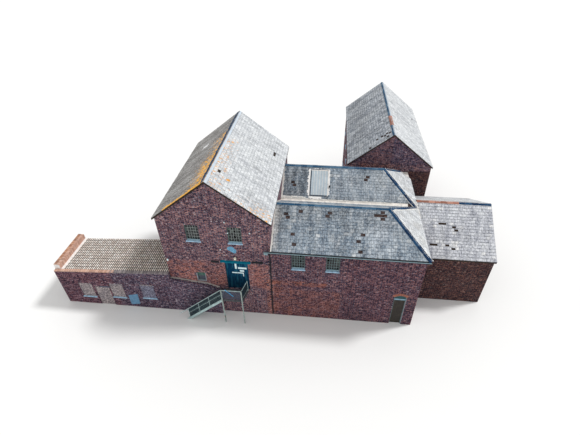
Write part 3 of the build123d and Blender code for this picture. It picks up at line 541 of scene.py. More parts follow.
def door_material():
    """Teal door paint, faded in streaks, with darker dirt low down."""
    m = Nodes("door_teal")
    grain = m.noise(30.0, 6.0, (1.0, 1.0, 0.12))
    faded = m.noise(2.6, 5.0, (3.2, 1.0, 0.35))
    tone = m.over(m.ramp(grain, DOOR_TEAL), DOOR_FADED, faded, (0.50, 0.62), 0.8)
    low = m.math("SUBTRACT", 1.0, m.band(m.split(m.place)[2], *DOOR_DIRT_TOP))
    tone = m.mix(m.times(low, 0.5), tone, DOOR_DIRT)
    return m.finish(tone, roughness=0.8, normal=m.bump(grain, distance=0.003), specular=0.10)


def glass_material(name, stops, dust_tone, level=None, low_tone=None):
    """Old dirty panes, each with its own tint, dusty at random, and of another tone below a level."""
    m = Nodes(name)
    tone = m.ramp(m.tint(), stops)
    if level:
        tone = m.over(tone, low_tone, m.split(m.place)[2], (level + 0.02, level - 0.02))
    dust = m.band(m.noise(5.0, 6.0), 0.52, 0.75)
    tone = m.mix(m.times(dust, 0.3), tone, dust_tone)
    return m.finish(tone, roughness=m.math("ADD", m.times(dust, 0.3), 0.22))


SANDY_TILE = even((0.66, 0.57, 0.50), (0.86, 0.76, 0.68), (1.0, 0.96, 0.90))
TILE_STAIN = (0.36, 0.30, 0.25)
TILE_DIRT_AND_SHADE = (0.020, 0.018, 0.022)


def leanto_tile_material():
    """Sandy roll tiles with dirt and painted shade in the pans and along the tails."""
    m = Nodes("leanto_tile")
    tone = m.over(m.ramp(m.tint(), SANDY_TILE), TILE_STAIN, m.noise(3.5, 6.0), (0.45, 0.72), 0.35)
    # Dark in the pans and along the tails: dirt, and painted shade where the rolls and the tails shade the
    # tiles
    dirt = m.times(m.band(m.edge(side=0.34, tail=0.16), 0.10, 0.50), m.band(m.noise(14.0, 4.0), 0.05, 0.30))
    tone = m.mix(m.times(dirt, 0.98), tone, TILE_DIRT_AND_SHADE)
    return m.finish(tone, roughness=0.9, normal=m.bump(m.noise(40.0, 4.0), distance=0.003), specular=0.2)


# Where the photo shows other bricks, shades, lichen and slates

ORANGE_BRICK = (0.44, 0.155, 0.095)
STRIP_BRICK = (0.46, 0.155, 0.090)
MAIN_ZONES = [
    ((-0.2, -0.1, 2.9), (7.3, 0.4, 5.25), (0.42, 0.145, 0.100), 0.85),
    ((7.05, -0.1, -0.5), (8.9, 0.4, 3.3), ORANGE_BRICK, 0.75),
    ((8.6, -0.1, -0.5), (12.4, 0.4, 3.0), ORANGE_BRICK, 0.60),
    ((6.9, -0.1, 3.38), (11.4, 0.4, 3.84), STRIP_BRICK, 0.95),
    ((13.6, 10.3, 6.0), (16.2, 10.9, 10.2), ORANGE_BRICK, 0.45),
]
LEANTO_SHADES = [
    ((-9.2, -0.6, -0.5), (-4.5, 0.2, 4.5), (0.96, 0.82, 0.86)),
    ((-4.5, -0.6, -0.5), (3.9, 0.2, 4.5), (0.80, 0.90, 1.0)),
]
MAIN_SHADES = [
    ((12.6, -0.1, -0.5), (17.9, 0.4, 7.0), (0.92, 0.87, 0.88)),
    ((7.6, -0.1, -0.5), (17.9, 0.4, 7.0), (0.78, 0.74, 0.78)),
    ((17.6, 2.4, -0.5), (23.6, 10.7, 7.0), (0.50, 0.43, 0.36)),
    ((12.4, 10.3, 7.6), (19.8, 10.9, 10.5), (0.72, 0.80, 0.94)),
]
LEFT_LICHEN = [
    ((2.55, -0.6, 9.0), (4.6, 4.2, 12.8), 0.60, 0.19),
    ((2.8, 3.2, 9.0), (4.6, 7.2, 12.8), 0.60, 0.15),
    ((3.25, -0.6, 9.0), (4.6, 4.6, 12.8), 0.35, 0.22),
    ((0.7, -0.6, 8.0), (4.2, 0.14, 12.5), 0.12, 0.30),
]
RIGHT_LICHEN = [
    ((3.4, -0.4, 10.9), (4.5, 6.0, 12.5), 0.35, 0.08),
    ((5.9, -0.4, 8.5), (8.2, 1.0, 10.2), 0.35, 0.08),
    ((3.7, -0.4, 8.5), (6.6, 0.6, 12.0), 0.4, 0.05),
    ((4.72, 1.38, 8.5), (4.92, 1.56, 12.0), 0.05, 0.45),
]
DOWN_X = (0.25, 1.6, 0.25)
DOWN_Y = (1.6, 0.25, 0.25)
BLUE_SLATES = [(0.0, (0.180, 0.240, 0.305)), (0.5, (0.250, 0.315, 0.385)), (0.95, (0.350, 0.420, 0.490)),
               (1.0, (0.60, 0.63, 0.65))]
WING_SLATES = [(0.0, (0.56, 0.575, 0.63)), (0.6, (0.66, 0.675, 0.725)), (0.93, (0.76, 0.775, 0.81)),
               (1.0, (1.0, 0.99, 0.97))]
# Slates for the rear block's left slope, darker than its right slope: partly the slates' tone, partly
# painted shade
SHADED_REAR_SLATES = [(0.0, (0.29, 0.325, 0.37)), (0.6, (0.47, 0.51, 0.565)), (1.0, (0.66, 0.70, 0.75))]
# Grey slates for the main block's left slope and pale ones for the slopes and hips that face the light:
# partly the slates' tone, partly painted shade and painted sunlight
SHADED_GREY_SLATES = even((0.27, 0.255, 0.24), (0.34, 0.32, 0.30), (0.42, 0.40, 0.38))
SUNLIT_PALE_SLATES = even((0.56, 0.58, 0.60), (0.67, 0.69, 0.71), (0.80, 0.82, 0.83))
DARK_STAIN = (0.15, 0.165, 0.175)
DARK_TONE = (0.10, 0.105, 0.11)
PALE_TONE = (0.72, 0.76, 0.79)
BLUE_SHADES = [
    ((7.4, 5.4, 6.8), (9.8, 8.0, 8.9), 0.5, DARK_TONE, 0.55),
    ((7.4, 5.4, 6.8), (18.0, 6.0, 7.3), 0.2, DARK_TONE, 0.35),
    ((11.9, 5.4, 6.8), (18.2, 8.0, 8.9), 0.8, PALE_TONE, 0.40),
    ((7.4, 1.4, 7.5), (16.0, 2.7, 8.9), 0.4, DARK_TONE, 0.40),
    ((14.0, -0.3, 6.7), (15.3, 2.0, 8.3), 0.5, (0.74, 0.80, 0.86), 0.75),
    ((7.3, -0.3, 6.7), (7.95, 2.7, 8.9), 0.15, (0.68, 0.67, 0.65), 0.85),
    ((7.9, -0.3, 6.7), (8.4, 2.7, 8.9), 0.2, DARK_TONE, 0.35),
]
LEFT_SHADES = [
    ((-0.3, 0.2, 8.0), (2.2, 10.5, 11.0), 0.5, (0.40, 0.385, 0.37), 0.30),
    ((1.30, 7.00, 9.5), (1.75, 7.50, 10.9), 0.04, (1.0, 1.0, 1.0), 2.0),
]
REAR_SHADES = [((12.6, 10.3, 7.4), (14.4, 23.0, 9.5), 0.6, (0.24, 0.255, 0.27), 0.45)]
# Paler tones painted on the ridge tiles' wings that face the light, as painted sunlight; the shaded wings
# keep the dark tile tone
RIDGE_LIT_WINGS = [
    ((7.0, 2.68, 8.0), (18.0, 3.2, 9.0), (0.66, 0.66, 0.64)),
    ((16.18, 10.0, 9.5), (16.8, 23.0, 10.6), (0.50, 0.56, 0.62)),
]
MAIN_LIT_WING = [((3.775, -0.4, 11.0), (4.4, 10.6, 12.4), (0.60, 0.68, 0.76))]
TEAL_BARS = [((7.6, -0.5, 4.5), (12.6, 0.6, 7.2), (0.21, 0.31, 0.33))]

# Brick, slate and tile materials

BRICK_OLD = brick_material("brick_old", OLD_BRICKS, OLD_MORTAR, MAIN_ZONES, MAIN_SHADES)
BRICK_LEANTO = brick_material("brick_leanto", LEANTO_BRICKS, LEANTO_MORTAR, (), LEANTO_SHADES)
ARCH_BRICK = coping_material("arch_brick", even((0.26, 0.10, 0.075), (0.44, 0.17, 0.11)), 0.3)
# The warm coping bricks are a sunlit copy of the coping; the grey ones below are the same bricks in painted
# shadow
SUNLIT_COPING = coping_material("coping_brick", even((0.42, 0.24, 0.175), (0.56, 0.33, 0.25), (0.68, 0.46, 0.36)),
                         0.35)
COPING_BROWN = coping_material("coping_brown",
                               even((0.28, 0.125, 0.070), (0.43, 0.215, 0.130), (0.60, 0.36, 0.24)), 0.40)
# The same coping bricks in the main block's cast shadow: painted shadow
SHADOWED_COPING = coping_material("coping_grey_painted_shadow", [(0.0, (0.16, 0.14, 0.15)), (0.6, (0.25, 0.22, 0.225)),
                                              (1.0, (0.38, 0.34, 0.33))], 0.45)
# Slopes that face the light get the pale slates and the others darker ones: partly painted sunlight and
# painted shade
SLATE_LEFT_SHADED = slate_material("slate_brown_shaded", SHADED_GREY_SLATES, (0.20, 0.18, 0.16), 0.45, DOWN_X, 0.25, LEFT_SHADES,
                            LEFT_LICHEN, growth=LICHEN_SHADED)
SLATE_RIGHT_SUNLIT = slate_material("slate_pale_sunlit", SUNLIT_PALE_SLATES, (0.50, 0.51, 0.51), 0.25, DOWN_X, 0.35, (),
                             RIGHT_LICHEN, 0.48, 0.4)
SLATE_BLUE = slate_material("slate_blue", BLUE_SLATES, DARK_STAIN, 0.40, DOWN_Y, 0.55, BLUE_SHADES,
                            joints=0.66, sides=0.5)
SLATE_HIP_SUNLIT = slate_material("slate_hip_sunlit", SUNLIT_PALE_SLATES, (0.42, 0.40, 0.36), 0.45, DOWN_X, 0.3, joints=0.4)
SLATE_WING = slate_material("slate_wing", WING_SLATES, (0.33, 0.33, 0.35), 0.35, DOWN_Y, 0.45,
                            joints=0.75, sides=0.3)
SLATE_REAR_SHADED = slate_material("slate_rear_shaded", SHADED_REAR_SLATES, (0.22, 0.22, 0.22), 0.30, DOWN_X, 0.3, REAR_SHADES,
                            joints=0.8, sides=0.35)
RIDGE_BLUE = tinted("ridge_blue", even((0.010, 0.050, 0.110), (0.022, 0.085, 0.165), (0.075, 0.16, 0.25)),
                    0.7, (0.20, 0.26, 0.32), 0.25, 0.15, lit_wings=RIDGE_LIT_WINGS)
RIDGE_GREY = tinted("ridge_grey", [(0.0, (0.030, 0.055, 0.100)), (0.6, (0.060, 0.090, 0.140)),
                                   (1.0, (0.14, 0.17, 0.21))],
                    0.8, (0.42, 0.26, 0.09), 0.12, 0.15, 4.0, MAIN_LIT_WING)
RIDGE_RED = tinted("ridge_red", even((0.26, 0.11, 0.075), (0.40, 0.17, 0.115), (0.56, 0.28, 0.20)),
                   0.8, (0.16, 0.12, 0.11), 0.5)
HIP_BLUE = tinted("hip_blue", even((0.002, 0.016, 0.052), (0.005, 0.033, 0.090), (0.018, 0.070, 0.150)),
                  0.75, (0.05, 0.09, 0.14), 0.2, 0.12)
LEANTO_TILE = leanto_tile_material()

# Wood, doors and glass

UNDERLAY = wood_material("roof_boarding", [(0.3, (0.018, 0.014, 0.012)), (0.7, (0.060, 0.042, 0.032))], 0,
                         (0.020, 0.018, 0.018))
BATTENS = wood_material("slate_battens", [(0.46, (0.008, 0.006, 0.008)), (0.62, (0.13, 0.080, 0.065))], 0,
                        (0.10, 0.085, 0.09))
TIMBER = wood_material("old_timber", [(0.3, (0.20, 0.15, 0.11)), (0.7, (0.36, 0.29, 0.23))], 1,
                       (0.24, 0.22, 0.20))
ARCH_BOARDS = wood_material("arch_boards", [(0.25, (0.020, 0.019, 0.018)), (0.7, (0.060, 0.052, 0.046))], 2,
                            (0.09, 0.075, 0.06))
BOARDS = closing_material()
DOOR_PAINT = door_material()
PANE = glass_material("window_pane", [(0.0, (0.004, 0.006, 0.008)), (0.55, (0.012, 0.018, 0.020)),
                                      (0.85, (0.022, 0.032, 0.030)), (1.0, (0.09, 0.11, 0.10))],
                      (0.06, 0.06, 0.06))
SMALL_PANE = glass_material("small_pane", even((0.035, 0.115, 0.085), (0.060, 0.145, 0.120)),
                            (0.12, 0.18, 0.16), 3.66, (0.075, 0.085, 0.115))

# Paints, metals and mortar: colour, spread, roughness, scale, shine, stain, the stain's amount, zones
PAINTS = {
    "bedding_mortar": ((0.70, 0.68, 0.64), 0.2, 0.9, 5.0, 0.3, (0.35, 0.32, 0.29)),
    "lead": ((0.82, 0.78, 0.73), 0.15, 0.65, 2.2, 0.3, (0.38, 0.37, 0.37), 0.6),
    "white_flashing": ((0.86, 0.84, 0.82), 0.08, 0.6, 4.0, 0.3, (0.50, 0.46, 0.42), 0.4),
    "concrete": ((0.40, 0.38, 0.36), 0.2, 0.9, 3.0),
    "window_paint": ((0.37, 0.41, 0.40), 0.3, 0.65, 9.0, 0.3, (0.12, 0.11, 0.10), 0.5, TEAL_BARS),
    "frame_paint": ((0.10, 0.155, 0.155), 0.35, 0.6, 9.0, 0.3, (0.05, 0.05, 0.05)),
    "rail_paint": ((0.30, 0.42, 0.47), 0.25, 0.6, 9.0, 0.3, (0.12, 0.14, 0.15)),
    "sill_stone": ((0.40, 0.60, 0.78), 0.3, 0.85, 5.0, 0.3, (0.10, 0.14, 0.22)),
    "canopy_teal": ((0.004, 0.17, 0.26), 0.3, 0.8, 4.0, 0.1, (0.02, 0.10, 0.14)),
    "stair_paint": ((0.40, 0.53, 0.53), 0.25, 0.6, 5.0, 0.15, (0.24, 0.27, 0.25)),
    "post_paint": ((0.32, 0.39, 0.37), 0.25, 0.6, 5.0, 0.15, (0.22, 0.17, 0.13)),
    "mesh_blue": ((0.010, 0.030, 0.042), 0.3, 0.5, 7.0),
    "deck_paint": ((0.060, 0.065, 0.075), 0.35, 0.7, 6.0, 0.3, (0.17, 0.13, 0.12)),
    "panel_violet": ((0.075, 0.085, 0.13), 0.3, 0.6, 5.0, 0.3, (0.11, 0.08, 0.08)),
    "black_iron": ((0.009, 0.011, 0.016), 0.4, 0.6, 8.0, 0.2, (0.06, 0.035, 0.025), 0.2),
    "gutter_iron": ((0.070, 0.105, 0.120), 0.3, 0.5, 6.0, 0.4),
    "gutter_lip": ((0.21, 0.31, 0.35), 0.2, 0.5, 6.0, 0.4),
    "white_plate": ((0.74, 0.92, 1.0), 0.1, 0.6, 10.0, 0.1),
    "pale_blue": ((0.10, 0.46, 0.82), 0.15, 0.6, 8.0, 0.1),
    "blue_plate_paint": ((0.13, 0.27, 0.42), 0.2, 0.7, 8.0, 0.15, (0.24, 0.36, 0.48)),
    "blue_render": ((0.13, 0.33, 0.50), 0.35, 0.8, 12.0, 0.3, (0.46, 0.60, 0.70)),
    "transom_blue": ((0.22, 0.38, 0.48), 0.2, 0.6, 8.0, 0.3, (0.10, 0.16, 0.18)),
    "transom_green": ((0.020, 0.085, 0.095), 0.3, 0.6, 8.0, 0.3, (0.010, 0.035, 0.040)),
    "jamb_grey": ((0.33, 0.37, 0.42), 0.25, 0.7, 6.0, 0.3, (0.15, 0.15, 0.16)),
    "cream_lamp": ((0.82, 0.78, 0.64), 0.08, 0.35, 10.0),
    "orange_band": ((0.62, 0.20, 0.07), 0.2, 0.6, 10.0),
    "rooflight_pane": ((0.44, 0.51, 0.56), 0.12, 0.3, 1.6, 0.5, (0.30, 0.36, 0.42)),
}
PAINT = {name: mottled(name, *looks) for name, looks in PAINTS.items()}

SLOT_MATERIAL = {
    "brick": BRICK_OLD, "slate": UNDERLAY, "roof_tile": LEANTO_TILE, "ridge_tile": RIDGE_BLUE,
    "lead": PAINT["lead"], "concrete": PAINT["concrete"], "floor_boards": TIMBER,
    "weathered_boards": BOARDS, "window_paint": PAINT["frame_paint"], "sill_stone": PAINT["sill_stone"],
    "window_glass": PANE, "door_paint": DOOR_PAINT, "hinge_iron": PAINT["black_iron"],
    "stair_paint": PAINT["stair_paint"], "pipe_iron": PAINT["black_iron"],
}
NODE_MATERIAL = {
    "leanto_front_wall": BRICK_LEANTO, "leanto_walls": BRICK_LEANTO, "wall_copings": BRICK_LEANTO,
    "door_canopy": PAINT["canopy_teal"], "front_gutter": PAINT["gutter_iron"],
    "arched_door_panels": ARCH_BOARDS, "arched_door": PAINT["frame_paint"], "rooflight_frame": HIP_BLUE,
    "landing_posts": PAINT["post_paint"], "front_range_roof": BATTENS, "rear_range_roof": BATTENS,
    "rear_roof": BATTENS, "landing_deck": PAINT["deck_paint"],
}


def paint_nodes():
    """Every CAD node gets the finish of its slot, or its own."""
    for part in frame["record"]["subparts"]:
        node = part["node"]
        mesh = frame["nodes"][node].data
        mesh.materials.clear()
        mesh.materials.append(NODE_MATERIAL.get(node, SLOT_MATERIAL[part["material_slot"]]))


paint_nodes()

# Mesh helpers

BLOCK_FACES = [(0, 3, 2, 1), (4, 5, 6, 7), (0, 1, 5, 4), (1, 2, 6, 5), (2, 3, 7, 6), (3, 0, 4, 7)]
EDGE_MARK = (0.0, 0.0, 0.0)
TOP_MARKS = [EDGE_MARK, (1.0, 0.0, 0.0), (1.0, 1.0, 0.0), (0.0, 1.0, 0.0)]
BLOCK_MARKS = [EDGE_MARK] * 4 + TOP_MARKS + [EDGE_MARK] * 16
LEFTWARD = (-1.0, 0.0, 0.0)
RIGHTWARD = (1.0, 0.0, 0.0)
FORWARD = (0.0, -1.0, 0.0)
BACKWARD = (0.0, 1.0, 0.0)
UPWARD = (0.0, 0.0, 1.0)
FLAT_TINT = 0.5
TOUCHING = 1e-6
LEVEL_LINE = 1e-9
JUST_INSIDE = 1e-4


class Shape:
    """Points and faces gathered for one mesh, with a tint between 0 and 1 for each face.

    marks, where a shape has them, say how far across and along its slate or tile a corner lies.
    """

    def __init__(self):
        self.points = []
        self.faces = []
        self.tints = []
        self.marks = []

    def block(self, lower, upper):
        """A solid between four lower and four upper corners, taken the same way round."""
        first = len(self.points)
        self.points.extend(lower)
        self.points.extend(upper)
        self.faces.extend(tuple(first + i for i in face) for face in BLOCK_FACES)
        self.tints.extend([random.random()] * len(BLOCK_FACES))

    def box(self, low, high):
        """A block along the axes."""
        ring = [(low[0], low[1]), (high[0], low[1]), (high[0], high[1]), (low[0], high[1])]
        self.block([(x, y, low[2]) for x, y in ring], [(x, y, high[2]) for x, y in ring])

    def prism(self, profile, near, far, tint=None):
        """A profile of offsets, carried from one place to another."""
        first = len(self.points)
        count = len(profile)
        self.points.extend([np.array(near) + offset for offset in profile])
        self.points.extend([np.array(far) + offset for offset in profile])
        for i in range(count):
            after = (i + 1) % count
            self.faces.append((first + i, first + after, first + count + after, first + count + i))
        self.faces.append(tuple(first + i for i in reversed(range(count))))
        self.faces.append(tuple(first + count + i for i in range(count)))
        self.tints.extend([random.random() if tint is None else tint] * (count + 2))

    def rod(self, start, end, radius, sides):
        """A round bar between two places."""
        line = Vector(end) - Vector(start)
        side = line.orthogonal().normalized()
        other = line.normalized().cross(side)
        turns = [2.0 * math.pi * i / sides for i in range(sides)]
        profile = [np.array(side * math.cos(t) * radius + other * math.sin(t) * radius) for t in turns]
        self.prism(profile, start, end)

    def make(self, name, material, body=BODY):
        """The finished object, with a tint for each face, riding on its body."""
        mesh = bpy.data.meshes.new(name)
        mesh.from_pydata((np.asarray(self.points, float) + np.array(CORNER)).tolist(), [], self.faces)
        mesh.materials.append(material)
        layer = mesh.attributes.new("tint", "FLOAT", "FACE")
        layer.data.foreach_set("value", np.asarray(self.tints, np.float32))
        if self.marks:
            corners = mesh.attributes.new("marks", "FLOAT_VECTOR", "CORNER")
            corners.data.foreach_set("vector", np.asarray(self.marks, np.float32).ravel())
        mesh.polygons.foreach_set("use_smooth", [False] * len(mesh.polygons))
        mesh.update()
        piece = bpy.data.objects.new(name, mesh)
        bpy.context.scene.collection.objects.link(piece)
        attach(piece, body)
        return piece


def make_box(name, low, high, material):
    """A piece that is one plain box."""
    shape = Shape()
    shape.box(low, high)
    shape.make(name, material)


class Plane:
    """A roof plane: a level line along its eave, the way uphill and its rise for each unit run."""

    def __init__(self, origin, along, uphill, rise):
        self.origin = np.array(origin, float)
        self.along = np.array((*along, 0.0))
        self.stretch = math.hypot(1.0, rise)
        self.level = np.array((*uphill, 0.0))
        self.up = np.array((uphill[0], uphill[1], rise)) / self.stretch
        out = np.cross(self.along, self.up)
        self.out = out if out[2] > 0 else -out

    def local(self, x, y):
        """Distance along the eave and up the slope of a place in plan."""
        d = np.array((x - self.origin[0], y - self.origin[1], 0.0))
        return d @ self.along, (d @ self.level) * self.stretch

    def point(self, along, up, out=0.0):
        return self.origin + self.along * along + self.up * up + self.out * out

    def over(self, x, y, out=0.0):
        """The place on the plane over a place in plan."""
        return self.point(*self.local(x, y), out)

    def slab(self, shape, across, upslope, heights):
        """A slab on the plane between two lines up it, two along it and two heights over it."""
        (start, end), (foot, head) = across, upslope
        ring = [(start, foot), (end, foot), (end, head), (start, head)]
        shape.block(*([self.point(u, s, height) for u, s in ring] for height in heights))


def span_at(outline, level):
    """The stretch that a convex outline covers at a level."""
    hits = []
    for (u0, s0), (u1, s1) in zip(outline, outline[1:] + outline[:1]):
        if min(s0, s1) - TOUCHING <= level <= max(s0, s1) + TOUCHING and abs(s1 - s0) > LEVEL_LINE:
            t = min(1.0, max(0.0, (level - s0) / (s1 - s0)))
            hits.append(u0 + (u1 - u0) * t)
    return (min(hits), max(hits)) if hits else None


def rectangle(x0, x1, y0, y1):
    return [(x0, y0), (x1, y0), (x1, y1), (x0, y1)]


# Roofs: places read from the frame's solids, and levels that the source states

MAIN_LOW, MAIN_HIGH = corner_box("main_roof")
FRONT_LOW, FRONT_HIGH = corner_box("front_range_roof")
BACK_LOW, BACK_HIGH = corner_box("rear_range_roof")
WING_LOW, WING_HIGH = corner_box("wing_roof")
REAR_LOW, REAR_HIGH = corner_box("rear_roof")
MAIN_EAVE = 8.91
REAR_EAVE = 7.45
RANGE_EAVE = 6.755
FRONT_RIDGE_Y = 2.66
VALLEY = 6.89
VALLEY_Y = BACK_LOW.y
BACK_RIDGE_Y = 7.92
BACK_EAVE = 7.48
HIP_RISE = 0.737
WING_EAVE = 4.47
WING_RIDGE_Y = 6.4
END_X = FRONT_HIGH.x
WALL_X = FRONT_LOW.x
MAIN_X = (MAIN_LOW.x + MAIN_HIGH.x) / 2
REAR_X = (REAR_LOW.x + REAR_HIGH.x) / 2


def hip_x(level):
    """How far right the range's hipped end reaches at a level."""
    return END_X - (level - RANGE_EAVE) / HIP_RISE


def at_level(place, level):
    return (place[0], place[1], level)


FRONT_APEX = (hip_x(FRONT_HIGH.z), FRONT_RIDGE_Y)
BACK_APEX = (hip_x(BACK_HIGH.z), BACK_RIDGE_Y)
VALLEY_END = (hip_x(VALLEY), VALLEY_Y)
BACK_CORNER = (hip_x(BACK_EAVE), BACK_HIGH.y)
FRONT_FOOT = (END_X, FRONT_LOW.y, RANGE_EAVE)
FRONT_TOP = at_level(FRONT_APEX, FRONT_HIGH.z)
BACK_TOP = at_level(BACK_APEX, BACK_HIGH.z)
VALLEY_FOOT = at_level(VALLEY_END, VALLEY)

MAIN_RISE = (MAIN_HIGH.z - MAIN_EAVE) / (MAIN_X - MAIN_LOW.x)
REAR_RISE = (REAR_HIGH.z - REAR_EAVE) / (REAR_X - REAR_LOW.x)
FRONT_RISE = (FRONT_HIGH.z - RANGE_EAVE) / (FRONT_RIDGE_Y - FRONT_LOW.y)
INNER_RISE = (FRONT_HIGH.z - VALLEY) / (VALLEY_Y - FRONT_RIDGE_Y)
BACK_RISE = (BACK_HIGH.z - VALLEY) / (BACK_RIDGE_Y - VALLEY_Y)
OUTER_RISE = (BACK_HIGH.z - BACK_EAVE) / (BACK_HIGH.y - BACK_RIDGE_Y)
WING_RISE = (WING_HIGH.z - WING_EAVE) / (WING_RIDGE_Y - WING_LOW.y)
WING_BACK_RISE = (WING_HIGH.z - WING_EAVE) / (WING_HIGH.y - WING_RIDGE_Y)
MAIN_LEFT = Plane((MAIN_LOW.x, 0, MAIN_EAVE), (0, 1), (1, 0), MAIN_RISE)
MAIN_RIGHT = Plane((MAIN_HIGH.x, 0, MAIN_EAVE), (0, 1), (-1, 0), MAIN_RISE)
REAR_LEFT = Plane((REAR_LOW.x, 0, REAR_EAVE), (0, 1), (1, 0), REAR_RISE)
REAR_RIGHT = Plane((REAR_HIGH.x, 0, REAR_EAVE), (0, 1), (-1, 0), REAR_RISE)
FRONT_OUTER = Plane((0, FRONT_LOW.y, RANGE_EAVE), (1, 0), (0, 1), FRONT_RISE)
FRONT_INNER = Plane((0, VALLEY_Y, VALLEY), (1, 0), (0, -1), INNER_RISE)
BACK_INNER = Plane((0, VALLEY_Y, VALLEY), (1, 0), (0, 1), BACK_RISE)
BACK_OUTER = Plane((0, BACK_HIGH.y, BACK_EAVE), (1, 0), (0, -1), OUTER_RISE)
HIP = Plane((END_X, 0, RANGE_EAVE), (0, 1), (-1, 0), HIP_RISE)
WING_FRONT = Plane((0, WING_LOW.y, WING_EAVE), (1, 0), (0, 1), WING_RISE)
WING_BACK = Plane((0, WING_HIGH.y, WING_EAVE), (1, 0), (0, -1), WING_BACK_RISE)

# Slates that the photo shows as lost, by their places in plan
VALLEY_BARE = 0.20
LOST_FRONT = [(8.35, 2.00), (8.55, 1.81), (9.34, 2.23), (11.17, 2.26), (11.17, 2.06), (8.97, 0.84),
              (9.13, 0.28), (13.46, 0.95), (13.30, 0.73), (13.33, 0.0), (14.67, 2.38), (14.32, 2.13),
              (14.60, 2.14), (14.98, 2.18), (14.90, 1.99)]
LOST_BACK = [(13.97, 7.32), (13.97, 7.14), (8.33, 6.71), (8.45, 6.52)]
LOST_WING = [(19.59, 4.79), (19.88, 4.81), (20.47, 4.74), (20.56, 4.52), (18.95, 3.56), (19.26, 3.39),
             (20.05, 3.39), (20.31, 3.36)]
LOST_MAIN = [(6.80, 7.89), (6.80, 7.70), (4.30, 1.71)]
LOST_REAR = [(15.98, 11.14), (15.84, 11.16), (15.65, 11.28), (15.49, 11.26), (15.26, 11.24),
             (15.04, 11.26), (14.45, 10.67), (15.72, 10.95)]
LOST_REAR_RIGHT = [(19.02, 18.9)]


def add_slate(shape, plane, sides, ends, tail_span, head_span):
    """One slate, cut to the roof's outline, with its tail lifted on the course below."""
    left, right = sides[0] + SLATE_GAP / 2, sides[1] - SLATE_GAP / 2
    tail_left, tail_right = max(left, tail_span[0]), min(right, tail_span[1])
    head_left, head_right = max(left, head_span[0]), min(right, head_span[1])
    if tail_right - tail_left < NARROWEST_SLATE and head_right - head_left < NARROWEST_SLATE:
        return
    tail_right = max(tail_right, tail_left + LEAST_WIDTH)
    head_right = max(head_right, head_left + LEAST_WIDTH)
    lift = SLATE_TAIL + random.uniform(-LIFT_PLAY, LIFT_PLAY)
    tail = ends[0] + random.uniform(0.0, TAIL_PLAY)
    top = SLATE_LIFT + SLATE_THICK
    corners = [(tail_left, tail, lift), (tail_right, tail, lift),
               (head_right, ends[1], top), (head_left, ends[1], top)]
    lower = [plane.point(u, s, out - SLATE_THICK) for u, s, out in corners]
    shape.block(lower, [plane.point(u, s, out) for u, s, out in corners])
    shape.marks.extend(BLOCK_MARKS)


def slate_roof(name, plane, plan, material, lost=(), stump=STUMP):
    """Slates in courses over a roof plane, cut to its outline; a lost one leaves a short stump.

    stump is how much of the course the stump still covers.
    """
    outline = [plane.local(x, y) for x, y in plan]
    low = min(s for _, s in outline)
    high = max(s for _, s in outline)
    bare = [plane.local(x, y) for x, y in lost]
    shape = Shape()
    count = max(1, round((high - low) / GAUGE))
    gauge = (high - low) / count
    for course in range(count):
        tail = low + course * gauge
        head = min(tail + gauge * SLATE_LAP, high)
        tail_span = span_at(outline, tail + JUST_INSIDE)
        head_span = span_at(outline, head - JUST_INSIDE)
        left = min(tail_span[0], head_span[0]) - (SLATE_WIDTH / 2 if course % 2 else 0.0)
        while left < max(tail_span[1], head_span[1]):
            right = left + SLATE_WIDTH
            along, up = (left + right) / 2, tail + gauge / 2
            whole = not any(abs(along - u) <= SLATE_WIDTH / 2 and abs(up - s) <= gauge / 2 for u, s in bare)
            from_tail = tail if whole else head - gauge * stump
            add_slate(shape, plane, (left, right), (from_tail, head), tail_span, head_span)
            left = right
    shape.make(name, material)


def toward(place, goal, depth):
    """A place in plan moved towards another until it is some depth further along y."""
    share = depth / abs(goal[1] - place[1])
    return (place[0] + (goal[0] - place[0]) * share, place[1] + (goal[1] - place[1]) * share)


